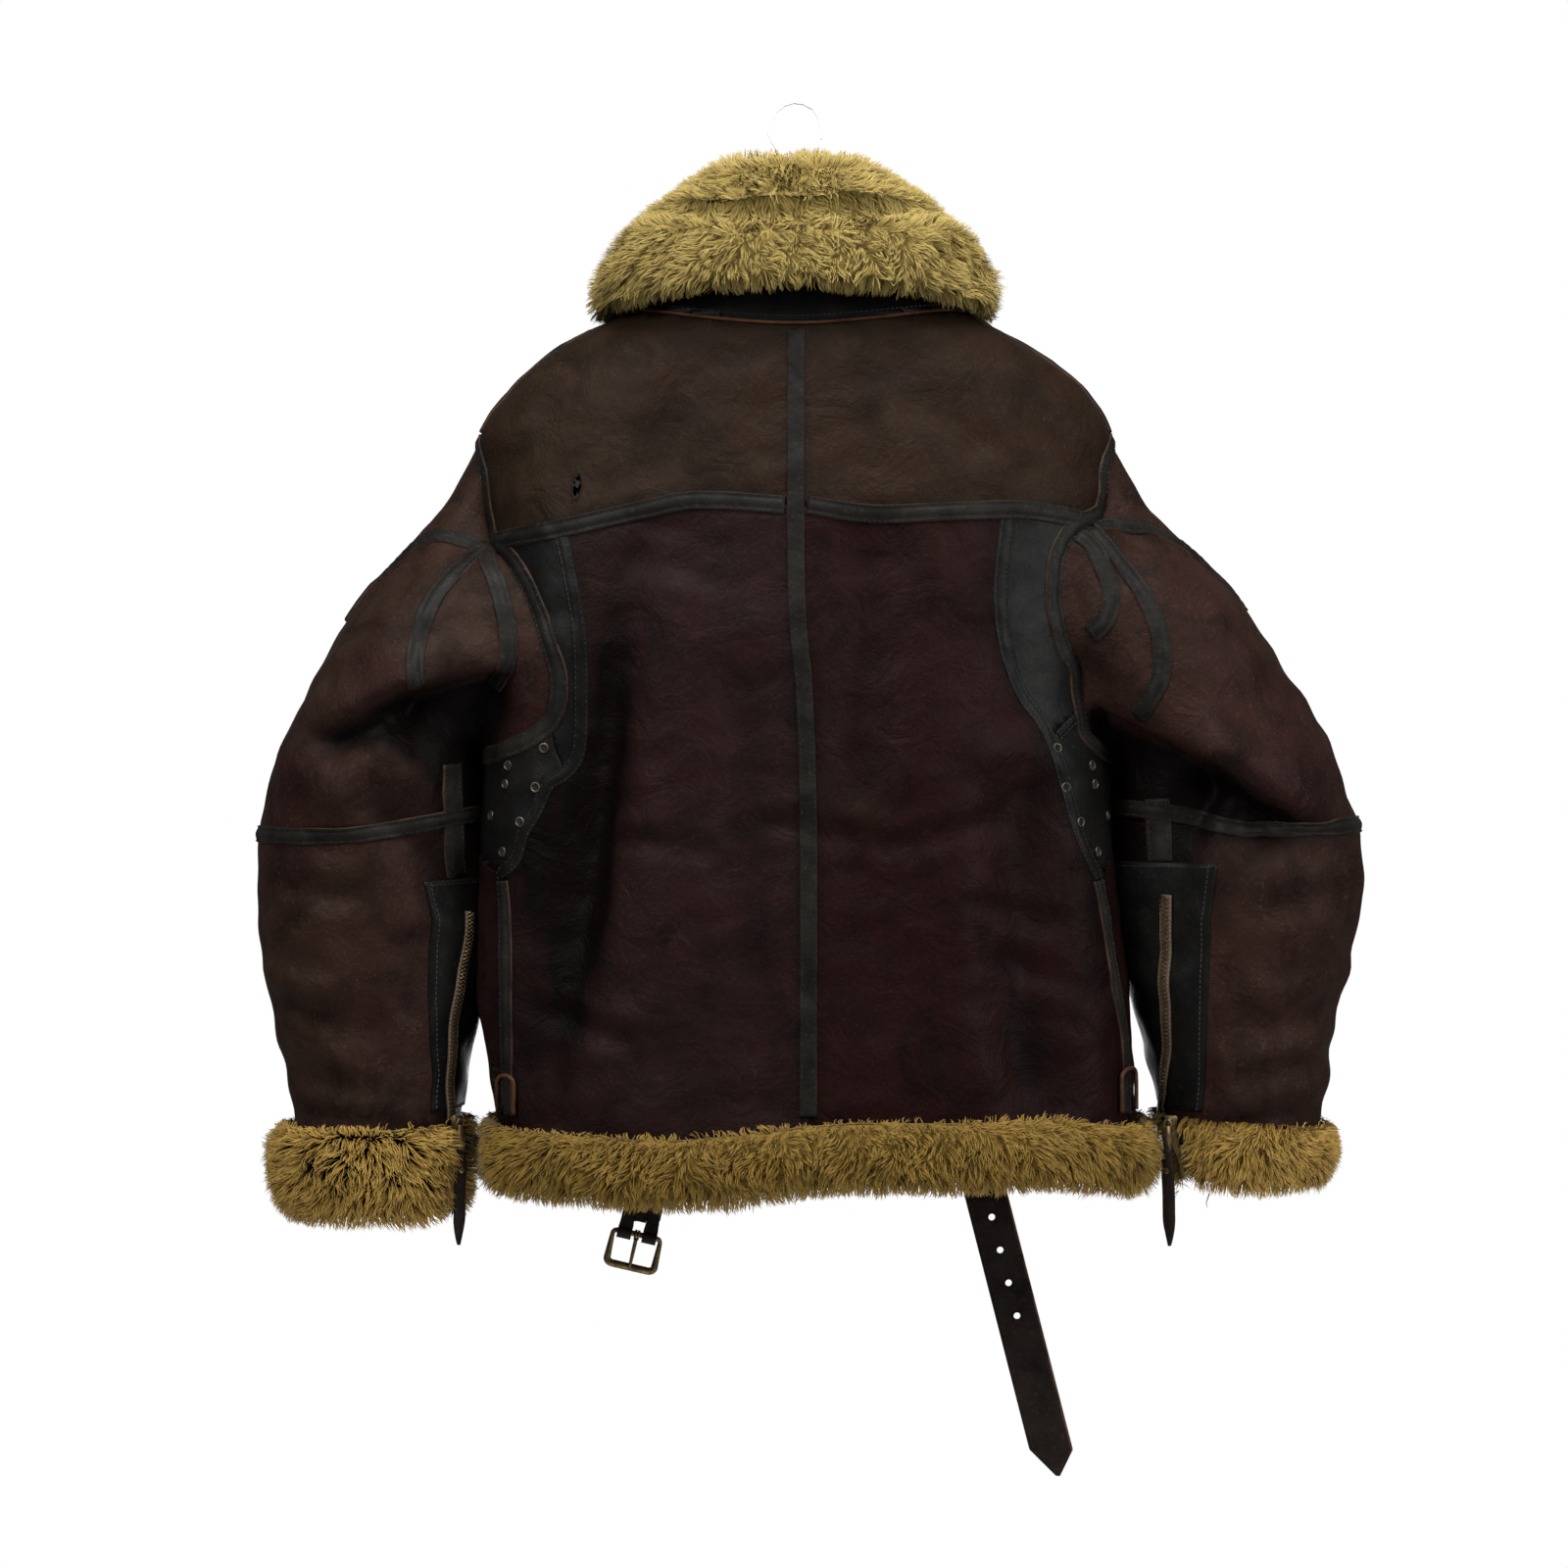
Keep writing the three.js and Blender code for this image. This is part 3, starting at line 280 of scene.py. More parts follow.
def length_along(points):
    return np.concatenate([[0], np.cumsum(np.linalg.norm(np.diff(points, axis=0), axis=1))])


def at_places(places, along, points):
    return np.stack([np.interp(places, along, column) for column in points.T], axis=-1)


def resample(points, step):
    along = length_along(points)
    count = max(2, int(round(along[-1] / step)) + 1)
    return at_places(np.linspace(0, along[-1], count), along, points)


def full_turn(count):
    return np.linspace(0, 2 * math.pi, count, endpoint=False)


def waves(points, length, count, seed):
    """Soft lumps about as long as the given length, between -1 and 1 for the most part."""
    draw = np.random.default_rng(seed)
    turns = unit(draw.normal(size=(count, 3))) * (2 * math.pi / length)
    turns *= draw.uniform(0.6, 1.5, (count, 1))
    phases = draw.uniform(0, 2 * math.pi, count)
    return np.sin(points @ turns.T + phases).sum(axis=-1) / math.sqrt(count)


def share_between(ax, az, bx, bz, x, z):
    """Share of the way from a to b that is nearest to places x, z."""
    length = (bx - ax) ** 2 + (bz - az) ** 2
    return np.clip(((x - ax) * (bx - ax) + (z - az) * (bz - az)) / length, 0, 1)


def creases(rows, x, z):
    """Depth of soft creases, each a trough with a faint ridge beside it."""
    total = np.zeros_like(x)
    for (ax, az), (bx, bz), deep, wide in rows:
        t = share_between(ax, az, bx, bz, x, z)
        away = np.hypot(x - ax - t * (bx - ax), z - az - t * (bz - az)) / wide
        total -= deep * (np.exp(-away ** 2) - 0.4 * np.exp(-(away - 1.9) ** 2 * 1.6))
    return total


def troughs(paths, x, z):
    """Depth of long troughs whose depth and width change along their path."""
    total = np.zeros_like(x)
    for path in paths:
        best = np.full(x.shape, 1e9)
        found = np.zeros_like(x)
        for (ax, az, adeep, awide), (bx, bz, bdeep, bwide) in zip(path, path[1:]):
            t = share_between(ax, az, bx, bz, x, z)
            dx, dz = x - ax - t * (bx - ax), z - az - t * (bz - az)
            away = np.hypot(dx, dz)
            wide = awide + t * (bwide - awide)
            wide = np.where(dx * np.sign(ax) < 0, wide * 0.72, wide)
            here = (adeep + t * (bdeep - adeep)) * np.exp(-(away / wide) ** 2)
            found = np.where(away < best, here, found)
            best = np.minimum(best, away)
        total -= found
    return total


def shade_patches(rows, x, z):
    """How much painted shade each place gets, from 0 to 1."""
    total = np.zeros_like(x)
    for cx, cz, across, down, strength in rows:
        total = np.maximum(total, strength * np.exp(-((x - cx) / across) ** 2 - ((z - cz) / down) ** 2))
    return total


def overhangs(rows, x, z):
    """Depth of folds that swell above a line and fall away deeply below it."""
    total = np.zeros_like(x)
    for (ax, az), (bx, bz), deep, fall, rise, above in rows:
        length = math.hypot(bx - ax, bz - az)
        ux, uz = (bx - ax) / length, (bz - az) / length
        along = (x - ax) * ux + (z - az) * uz
        over = np.maximum(0, np.maximum(-along, along - length))
        ends = np.exp(-(over / 16) ** 2)
        side = (x - ax) * -uz + (z - az) * ux
        height = side if ux > 0 else -side
        trough = np.where(height > 0, np.exp(-(height / 6) ** 2), np.exp(-(height / fall) ** 2))
        swell = np.exp(-((height - 0.95 * above) / above) ** 2)
        total += ends * (rise * swell - deep * trough)
    return total


def inside(outline, x, z):
    """Whether points lie in an outline, by the number of its sides that a ray crosses."""
    found = np.zeros(x.shape, dtype=bool)
    corners = list(outline)
    for (ax, az), (bx, bz) in zip(corners, corners[1:] + corners[:1]):
        if az == bz:
            continue
        crossed = ((az > z) != (bz > z)) & (x < (bx - ax) * (z - az) / (bz - az) + ax)
        found ^= crossed
    return found


def height_of(line, x):
    line = np.array(line, dtype=float)
    return np.interp(x, line[:, 0], line[:, 1])


def across_of(line, z):
    line = np.array(line, dtype=float)
    return np.interp(-z, -line[:, 1], line[:, 0])


# Body surface
BODY_HEIGHTS, BODY_FINE = smooth_table(BODY)
POWER = 2 / ROUNDNESS


def body_row(z):
    return [np.interp(-z, -BODY_HEIGHTS, column) for column in BODY_FINE]


def oval(middle, half, back, front, angle, z):
    """Points of oval sections at angles: zero at +X, a quarter turn at the back."""
    c, s = np.cos(angle), np.sin(angle)
    deep = np.where(s > 0, back, front)
    x = middle + half * np.sign(c) * np.abs(c) ** POWER
    y = -deep * np.sign(s) * np.abs(s) ** POWER
    return np.stack([x, y, z + 0 * x], axis=-1)


def body_bare(angle, z):
    return oval(*body_row(z), angle, z)


def side_swell(z):
    """How far body and sleeve lean on each other under the arm."""
    return 5.6 * np.clip((-448 - z) / 12, 0, 1) * np.clip((z + 672) / 44, 0, 1)


def body_depth(base, angle, z):
    x = base[..., 0]
    back = creases(BACK_CREASES, x, z) + troughs(TROUGHS, x, z)
    depth = np.where(np.sin(angle) > 0, back, creases(FRONT_CREASES, x, z))
    return depth * np.clip(np.abs(np.sin(angle)) * 3, 0, 1)


def body_skin(angle, z, off=0.0):
    """Points at a distance from the creased body surface, and the normals of the smooth one."""
    turn = body_bare(angle + 0.015, z) - body_bare(angle - 0.015, z)
    fall = body_bare(angle, z - 4) - body_bare(angle, z + 4)
    normal = unit(np.cross(turn, fall))
    out = np.stack([np.cos(angle), -np.sin(angle), 0 * angle], axis=-1)
    normal *= np.sign((normal * out).sum(axis=-1, keepdims=True))
    base = body_bare(angle, z)
    depth = body_depth(base, angle, z) + side_swell(z) * np.abs(np.cos(angle)) ** 4
    depth += 1.3 * waves(base, 110, 9, 3) + 0.55 * waves(base, 34, 9, 4)
    ends = np.clip((-130 - z) / 24, 0, 1) * np.clip((z - HEM_Z + 4) / 24, 0, 1)
    return base + normal * (off + depth * ends)[..., None], normal


def angle_at(x, z, behind):
    """Angle of the body's surface seen from behind, or from the front, at x and z."""
    middle, half, _, _ = body_row(z)
    u = np.clip((x - middle) / half, -1, 1)
    angle = np.arccos(np.sign(u) * np.abs(u) ** (1 / POWER))
    return np.where(behind, angle, 2 * math.pi - angle)


def even_angles(count):
    """Angles that stand evenly along a section at mid height."""
    fine = np.linspace(0, math.pi / 2, 4000)
    along = length_along(oval(0, 220, 108, 108, fine, np.zeros_like(fine)))
    quarter = np.interp(np.linspace(0, along[-1], count // 4 + 1), along, fine)[:-1]
    turn = math.pi / 2
    half = np.concatenate([quarter, math.pi - np.concatenate([[turn], quarter[:0:-1]])])
    return np.concatenate([half, half + math.pi])


# Sleeve surface
def armhole_curve(side, behind):
    line = spline(ARMHOLE[side], 2.0)
    x, z = line[:, 0], line[:, 1]
    angle = angle_at(x, z, behind)
    points, _ = body_skin(angle, z)
    pull = np.stack([SIGN[side] * HOLE_X - x, 0 * x, HOLE_Z - z], axis=-1)
    return resample(points + unit(pull) * ARMHOLE_GAP, 1.0)


ARM_CURVES = {side: (armhole_curve(side, True), armhole_curve(side, False)) for side in SIDES}


def on_curve(curve, share):
    return at_places(share, np.linspace(0, 1, len(curve)), curve)


def sleeve_row(side, place):
    """A smooth row of the sleeve's table at places between its rows."""
    rows = SLEEVE[side]
    last = len(rows) - 1
    i = np.clip(np.floor(place).astype(int), 0, last - 1)
    t = (place - i)[..., None]
    return through(t, *[rows[np.clip(i + step, 0, last)] for step in (-1, 0, 1, 2)])


def sleeve_depth(side, point, angle):
    x, z = point[..., 0], point[..., 2]
    depth = creases(SLEEVE_CREASES[side], x, z) + overhangs(OVERHANGS[side], x, z)
    return depth * np.abs(np.sin(angle)) ** 0.5


def sleeve_skin(side, place, angle, off=0.0):
    """Points at a distance from the creased sleeve surface, and the direction out from its middle."""
    place, angle = np.broadcast_arrays(np.asarray(place, float), np.asarray(angle, float))
    row = sleeve_row(side, place)
    first = SLEEVE[side][0]
    zero = 0 * place
    out = np.stack([row[..., 0], zero, row[..., 1]], axis=-1)
    inn = np.stack([row[..., 2], zero, row[..., 3]], axis=-1)
    up = unit(out - inn)
    half = np.linalg.norm(out - inn, axis=-1) / 2
    cos, sin = np.cos(angle), np.sin(angle)
    radial = up * cos[..., None]
    radial[..., 1] -= sin
    point = (out + inn) / 2 + up * (half * cos)[..., None]
    point[..., 1] -= row[..., 4] * sin
    share = np.clip(1 - place / HEAD_ROWS, 0, 1) ** 2
    top = ((1 + cos) / 2) ** 1.6
    turn = np.mod(angle, 2 * math.pi)
    behind, before = ARM_CURVES[side]
    edge = np.where((turn <= math.pi)[..., None], on_curve(behind, turn / math.pi),
                    on_curve(before, 2 - turn / math.pi))
    start_out = np.array([first[0], 0, first[1]])
    start_in = np.array([first[2], 0, first[3]])
    edge = edge + (out - start_out) * top[..., None] + (inn - start_in) * (1 - top)[..., None]
    point += (edge - point) * share[..., None]
    depth = sleeve_depth(side, point, angle) + side_swell(point[..., 2]) * np.clip(-cos, 0, 1) ** 4
    depth += 1.4 * waves(point, 90, 9, 5) + 0.6 * waves(point, 30, 9, 6)
    ends = np.clip(place / 0.8, 0, 1) * np.clip((CUFF - place) / 0.4, 0, 1)
    return point + radial * (off + depth * ends)[..., None], radial


# Mesh helpers
def new_piece(name, points, faces, material, smooth=True, values=None):
    """A mesh object from points in millimetres, its faces and named numbers for its points."""
    mesh = bpy.data.meshes.new(name)
    mesh.from_pydata((np.asarray(points) * MM).tolist(), [], [list(map(int, face)) for face in faces])
    mesh.update()
    if smooth:
        mesh.polygons.foreach_set("use_smooth", np.ones(len(mesh.polygons), dtype=bool))
    for key, numbers in (values or {}).items():
        layer = mesh.attributes.new(key, "FLOAT", "POINT")
        layer.data.foreach_set("value", np.asarray(numbers, dtype=np.float32).ravel())
    mesh.materials.append(material)
    piece = bpy.data.objects.new(name, mesh)
    bpy.context.scene.collection.objects.link(piece)
    return piece


def settle(piece, nodes=(), body="root"):
    """Says which body a piece moves with and the solids that it stands for."""
    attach(piece, body)
    if nodes:
        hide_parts(*nodes)


def grid_faces(rows, columns, closed=True):
    """Quads of a grid whose rows run round, each from one row to the next."""
    i, j = np.meshgrid(np.arange(rows - 1), np.arange(columns if closed else columns - 1), indexing="ij")
    k = (j + 1) % columns
    here, below = i * columns, (i + 1) * columns
    return np.stack([here + j, below + j, below + k, here + k], axis=-1).reshape(-1, 4)


def shell(outer, inner, faces):
    """A thin closed shell: the faces of the outer points, those of the inner ones, and a rim."""
    used = np.unique(faces)
    place = np.full(len(outer), -1)
    place[used] = np.arange(len(used))
    front = place[faces]
    count = len(used)
    sides = np.stack([front, np.roll(front, -1, axis=1)], axis=-1).reshape(-1, 2)
    keys = sides[:, 0] * count + sides[:, 1]
    backs = sides[:, 1] * count + sides[:, 0]
    rim = sides[~np.isin(keys, backs)]
    rim_faces = np.stack([rim[:, 1], rim[:, 0], rim[:, 0] + count, rim[:, 1] + count], axis=1)
    points = np.concatenate([outer[used], inner[used]])
    return points, np.concatenate([front, front[:, ::-1] + count, rim_faces]), used


def loft(rings, caps=True):
    """Faces between rings of points, all of one size, with both ends filled."""
    rings = np.asarray(rings)
    count, size = rings.shape[:2]
    faces = [list(face) for face in grid_faces(count, size)]
    if caps:
        faces.append(list(range(size)))
        faces.append(list(range((count - 1) * size, count * size))[::-1])
    return rings.reshape(-1, 3), faces


class Joined:
    """Many small bodies gathered into one mesh."""

    def __init__(self):
        self.points = []
        self.faces = []
        self.values = []
        self.count = 0

    def add(self, points, faces, value=0.0):
        points = np.asarray(points, dtype=float)
        self.points.append(points)
        self.faces.extend([[index + self.count for index in face] for face in faces])
        self.values.append(np.full(len(points), value))
        self.count += len(points)

    def move(self, change):
        self.points = [change(points) for points in self.points]

    def piece(self, name, material, smooth=True):
        return new_piece(name, np.concatenate(self.points), self.faces, material, smooth,
                         {"pick": np.concatenate(self.values)})


class Surface:
    """A surface that strips are laid on, held as a search tree in millimetres."""

    def __init__(self, points, faces):
        self.tree = BVHTree.FromPolygons(points.tolist(), faces.tolist())

    def shoot(self, x, z, behind=True):
        way = 1 if behind else -1
        return self.tree.ray_cast(Vector((x, -way * 400, z)), Vector((0, way, 0)))[:2]

    def near(self, point):
        return self.tree.find_nearest(Vector(point))[:2]

    def project(self, line, step, behind=True):
        """A line seen from behind, laid on the surface."""
        found = []
        for x, z in spline(line, step):
            place, _ = self.shoot(x, z, behind)
            if place is not None:
                found.append(tuple(place))
        return resample(np.array(found), step)

    def lay(self, points):
        pairs = [self.near(point) for point in points]
        return np.array([tuple(p) for p, _ in pairs]), np.array([tuple(n) for _, n in pairs])


def smooth_along(values, reach):
    kernel = np.ones(2 * reach + 1) / (2 * reach + 1)
    padded = np.concatenate([np.repeat(values[:1], reach, 0), values, np.repeat(values[-1:], reach, 0)])
    return np.stack([np.convolve(column, kernel, "valid") for column in padded.T], axis=1)


# Strips of leather sewn over the seams
TAPE_T = np.array([-1, -0.95, -0.84, -0.70, -0.4, 0, 0.4, 0.70, 0.84, 0.95, 1])
TAPE_H = np.array([-0.3, 1.2, 1.75, 1.05, 1.9, 2.4, 1.9, 1.05, 1.75, 1.2, -0.3])
TAPE_STEP = 2.4
STITCH_STEP = 3.7
STITCH_T = 0.70
STITCH_LENGTH = 2.5
STITCH_WIDE = 0.34
STITCH_HIGH = 0.42
stitches = Joined()


def add_stitch(at, along, out, value):
    side = np.cross(along, out) * STITCH_WIDE
    ends = along * STITCH_LENGTH / 2
    foot, top = out * -0.3, out * STITCH_HIGH
    points = [at - ends - side + foot, at - ends + side + foot, at + ends + side + foot,
              at + ends - side + foot, at - ends * 0.6 + top, at + ends * 0.6 + top]
    stitches.add(points, [(0, 1, 4), (1, 2, 5, 4), (2, 3, 5), (3, 0, 4, 5), (3, 2, 1, 0)], value)


def sew(points, normals, lift=0.0, step=STITCH_STEP, value=0.0):
    """A row of stitches along a line that lies on a surface."""
    along = length_along(points)
    places = np.arange(step / 2, along[-1], step)
    spots = at_places(places, along, points)
    outs = unit(at_places(places, along, normals))
    ways = unit(np.gradient(spots, axis=0)) if len(spots) > 1 else np.array([[0, 0, 1.0]])
    for spot, way, out in zip(spots, ways, outs):
        add_stitch(spot + out * lift, way, out, value)


def tape(name, surface, route, half, slot, material, nodes, rise=1.0, twin=False, shift=0.0, sewn=True):
    """A strip with turned edges and a row of stitches near each, laid along a route on a surface."""
    centre, normals = surface.lay(route)
    normals = unit(smooth_along(normals, 2))
    ways = unit(np.gradient(centre, axis=0))
    across = unit(np.cross(normals, ways))
    places = length_along(centre)
    heights = TAPE_H * rise
    if twin:
        heights = heights - 1.3 * np.exp(-(TAPE_T / 0.2) ** 2)
    rows, outs = [], []
    for t, high in zip(TAPE_T, heights):
        spots, found = surface.lay(centre + across * (half * t + shift))
        found = unit(smooth_along(found, 1))
        groove = math.exp(-((abs(t) - STITCH_T) / 0.22) ** 2)
        pucker = 0.26 * groove * np.sin(places * 2 * math.pi / STITCH_STEP + 2 * t)
        pucker += 0.16 * waves(centre + 3 * t, 16, 5, 11)
        rows.append(spots + found * (high + pucker)[:, None])
        outs.append(found)
    foot = [spots - found * 1.6 for spots, found in ((rows[-1], outs[-1]), (rows[0], outs[0]))]
    rings = np.stack(rows + foot, axis=1)
    points, faces = loft(rings)
    edge = np.tile(np.concatenate([np.abs(TAPE_T), [1, 1]]), len(centre))
    piece = new_piece(name, points, faces, material, values={"edge": edge})
    settle(piece, nodes)
    if sewn:
        for index in (3, 7):
            sew(rows[index], outs[index])


# Body panels, cut from one fine grid along the seam lines
def extended(line, up=60, down=60):
    return [(line[0][0], line[0][1] + up), *line, (line[-1][0], line[-1][1] - down)]


def armhole_outline(side):
    line = ARMHOLE[side]
    far = SIGN[side] * 320
    return [*line, (far, line[-1][1]), (far, line[0][1])]


WHOLE_STAY = [(-240, -155), *STAY_LINE, (240, -154)]
WHOLE_YOKE = [*YOKE["left"], *YOKE["right"][1:]]


def body_labels(x, z, behind):
    """Name of the panel that each place on the body belongs to, and none in the armholes."""
    label = np.full(x.shape, "", dtype=object)
    centre = np.where(behind, across_of(extended(CENTRE_LINE), z), across_of(FRONT_LINE, z))
    yoke = height_of(WHOLE_YOKE, x)
    stay = height_of(WHOLE_STAY, x)
    for side in SIDES:
        own = (x - centre) * SIGN[side] > 0
        outer = extended([*PATCH_LINE[side], *SIDE_SEAM[side]])
        beyond = (x - across_of(outer, z)) * SIGN[side] > 0
        vent = inside(VENT_OUTLINE[side], x, z)
        label[own] = f"front_{side}"
        back = own & behind
        label[back & (z > yoke)] = f"yoke_{side}"
        low = back & (z <= yoke)
        label[low & ~beyond] = f"back_{side}"
        label[low & beyond & ~vent & (z > PATCH_FOOT)] = f"patch_{side}"
        label[low & beyond & ~vent & (z <= PATCH_FOOT)] = f"front_{side}"
        label[low & beyond & vent] = f"vent_{side}"
    label[behind & (z > stay)] = "neck_stay"
    for side in SIDES:
        label[inside(armhole_outline(side), x, z)] = ""
    return label


def seam_lines():
    lines = [extended(CENTRE_LINE, 10, 40), WHOLE_STAY, WHOLE_YOKE]
    for side in SIDES:
        vent = VENT_OUTLINE[side]
        lines += [ARMHOLE[side], [*PATCH_LINE[side], *SIDE_SEAM[side]], [*vent, vent[0]]]
    return lines


def nearest_on(lines, x, z):
    """Distance to the nearest of some lines, and the place on it."""
    best = np.full(x.shape, 1e9)
    spot_x, spot_z = x.copy(), z.copy()
    for line in lines:
        for (ax, az), (bx, bz) in zip(line, line[1:]):
            t = share_between(ax, az, bx, bz, x, z)
            px, pz = ax + t * (bx - ax), az + t * (bz - az)
            away = np.hypot(x - px, z - pz)
            closer = away < best
            best = np.where(closer, away, best)
            spot_x, spot_z = np.where(closer, px, spot_x), np.where(closer, pz, spot_z)
    return best, spot_x, spot_z


def body_places():
    """Angles, heights and faces of a fine grid over the whole body."""
    around = 4 * int(BODY_GIRTH / CELL / 4)
    down = int((BODY[0, 0] - HEM_Z) / CELL)
    angle, z = np.meshgrid(even_angles(around), np.linspace(BODY[0, 0], HEM_Z, down))
    return angle, z, grid_faces(down, around)[:, ::-1]


def make_body_grid():
    """Outer and inner points, faces, the panel of each face, and how much painted shade each point gets from
    its crease depth and the shade patches.
    """
    angle, z, faces = body_places()
    outer, _ = body_skin(angle, z)
    flat = outer.reshape(-1, 3)
    centre = flat[faces].mean(axis=1)
    mid_angle = angle.ravel()[faces[:, 0]] + 1e-3
    labels = body_labels(centre[:, 0], centre[:, 2], np.sin(mid_angle) > 0)
    names, code = np.unique(labels.astype(str), return_inverse=True)
    low = np.full(len(flat), 99)
    high = np.full(len(flat), -1)
    for corner in range(4):
        np.minimum.at(low, faces[:, corner], code)
        np.maximum.at(high, faces[:, corner], code)
    edge = np.flatnonzero(low != high)
    away, px, pz = nearest_on(seam_lines(), flat[edge, 0], flat[edge, 2])
    turn = angle_at(px, pz, np.sin(angle.ravel()[edge]) > 0)
    moved, _ = body_skin(turn, pz)
    near = (away < CELL) & (np.linalg.norm(moved - flat[edge], axis=1) < 2.2 * CELL)
    angle, z = angle.ravel().copy(), z.ravel().copy()
    angle[edge[near]], z[edge[near]] = turn[near], pz[near]
    outer, _ = body_skin(angle, z)
    inner, _ = body_skin(angle, z, -SKIN)
    base = body_bare(angle, z)
    # Painted shade: creases darken with their depth, and the listed shade patches add more
    painted_shade = np.clip(-body_depth(base, angle, z) / 20, 0, 1) + shade_patches(BODY_SHADE_PATCHES, base[:, 0], z)
    painted_shade = np.clip(painted_shade + 0.1 * waves(base, 40, 7, 71) * (painted_shade > 0.05), 0, 1)
    return outer, inner, faces, names[code], painted_shade


def make_sleeve_grid(side, first, last):
    around = 4 * int(SLEEVE_GIRTH / CELL / 4)
    down = int((last - first) * SLEEVE_ROW / CELL) + 1
    angle, place = np.meshgrid(full_turn(around), np.linspace(first, last, down))
    outer, _ = sleeve_skin(side, place, angle)
    inner, _ = sleeve_skin(side, place, angle, -SKIN)
    faces = grid_faces(down, around)
    if side == "right":
        faces = faces[:, ::-1]
    # Painted shade on the sleeves: from crease and overhang depth, and from the shade patches
    painted_shade = np.clip(-sleeve_depth(side, outer, angle) / 20, 0, 1)
    painted_shade += shade_patches(SLEEVE_SHADE_PATCHES[side], outer[..., 0], outer[..., 2])
    painted_shade = np.clip(painted_shade + 0.1 * waves(outer, 40, 7, 72) * (painted_shade > 0.05), 0, 1).ravel()
    return outer.reshape(-1, 3), inner.reshape(-1, 3), faces, painted_shade


# Materials
def srgb(red, green, blue):
    """A colour given as it looks, from 0 to 255, as the shader wants it."""
    parts = [value / 255 for value in (red, green, blue)]
    return [p / 12.92 if p <= 0.04045 else ((p + 0.055) / 1.055) ** 2.4 for p in parts] + [1.0]


def new_material(name):
    item = bpy.data.materials.new(name)
    item.use_nodes = True
    return item, item.node_tree, item.node_tree.nodes["Principled BSDF"]


def node(tree, kind, sockets=None, **settings):
    made = tree.nodes.new("ShaderNode" + kind)
    for key, value in settings.items():
        setattr(made, key, value)
    for key, value in (sockets or {}).items():
        if isinstance(value, bpy.types.NodeSocket):
            tree.links.new(value, made.inputs[key])
        else:
            made.inputs[key].default_value = value
    return made


def place_of(tree):
    return node(tree, "TexCoord").outputs["Object"]


def noise(tree, place, scale, detail=3.0, rough=0.5, warp=0.0):
    sockets = {"Vector": place, "Scale": scale, "Detail": detail, "Roughness": rough, "Distortion": warp}
    return node(tree, "TexNoise", sockets).outputs["Fac"]


def cells(tree, place, scale, feature="F1"):
    return node(tree, "TexVoronoi", {"Vector": place, "Scale": scale}, feature=feature).outputs["Distance"]


def number(tree, key):
    return node(tree, "Attribute", attribute_name=key).outputs["Fac"]


def product(tree, first, second):
    return node(tree, "Math", {0: first, 1: second}, operation="MULTIPLY").outputs[0]


def span(tree, value, low, high, to_low=0.0, to_high=1.0):
    sockets = {"Value": value, "From Min": low, "From Max": high, "To Min": to_low, "To Max": to_high}
    return node(tree, "MapRange", sockets).outputs["Result"]


def mix(tree, share, first, second, blend="MIX"):
    made = node(tree, "Mix", data_type="RGBA", blend_type=blend)
    for index, value in ((0, share), (6, first), (7, second)):
        if isinstance(value, bpy.types.NodeSocket):
            tree.links.new(value, made.inputs[index])
        else:
            made.inputs[index].default_value = value
    return made.outputs[2]


def bump(tree, height, strength, distance, before=None):
    sockets = {"Height": height, "Strength": strength, "Distance": distance}
    if before is not None:
        sockets["Normal"] = before
    return node(tree, "Bump", sockets).outputs["Normal"]


def finish_shader(tree, shader, colour, rough, normal, **fixed):
    for key, value in (("Base Color", colour), ("Roughness", rough), ("Normal", normal)):
        tree.links.new(value, shader.inputs[key])
    for key, value in fixed.items():
        shader.inputs[key.replace("_", " ")].default_value = value


def leather_material(name, deep, main, red, worn):
    """Old sheepskin leather: mottled, with a fine nap, cracked grain, folds darkened with painted shade and
    paler rubbed places.
    """
    item, tree, shader = new_material(name)
    place = place_of(tree)
    wide = noise(tree, place, 7, 3, 0.55, 0.6)
    blotch = noise(tree, place, 26, 4, 0.6, 0.8)
    speck = noise(tree, place, 420, 3, 0.7)
    nap = noise(tree, place, 1500, 2, 0.6)
    colour = mix(tree, span(tree, wide, 0.36, 0.64), srgb(*main), srgb(*red))
    colour = mix(tree, span(tree, blotch, 0.42, 0.72, 0, 0.8), colour, srgb(*deep))
    colour = mix(tree, span(tree, speck, 0.56, 0.8, 0, 0.45), colour, srgb(*worn))
    colour = mix(tree, span(tree, nap, 0.35, 0.7, 0, 0.4), colour, srgb(*deep))
    scuff = span(tree, noise(tree, place, 16, 5, 0.7, 1.5), 0.62, 0.76)
    scuff = product(tree, scuff, span(tree, speck, 0.45, 0.62))
    colour = mix(tree, product(tree, scuff, 0.5), colour, srgb(*worn))
    seam = product(tree, span(tree, number(tree, "seam"), 5, 15, 1, 0), 0.45)
    colour = mix(tree, seam, colour, srgb(*deep))
    # Painted shade: deep creases and shade patches turn nearly black
    colour = mix(tree, span(tree, number(tree, "painted_shade"), 0.12, 0.8, 0, 0.95), colour, srgb(4, 2, 2))
    normal = bump(tree, cells(tree, place, 190), 0.14, 0.0012)
    normal = bump(tree, cells(tree, place, 620, "SMOOTH_F1"), 0.34, 0.0006, normal)
    normal = bump(tree, noise(tree, place, 34, 5, 0.62, 0.9), 0.42, 0.007, normal)
    normal = bump(tree, nap, 0.25, 0.0004, normal)
    rough = span(tree, blotch, 0.3, 0.75, 0.46, 0.62)
    finish_shader(tree, shader, colour, rough, normal, Specular_IOR_Level=0.035)
    return item


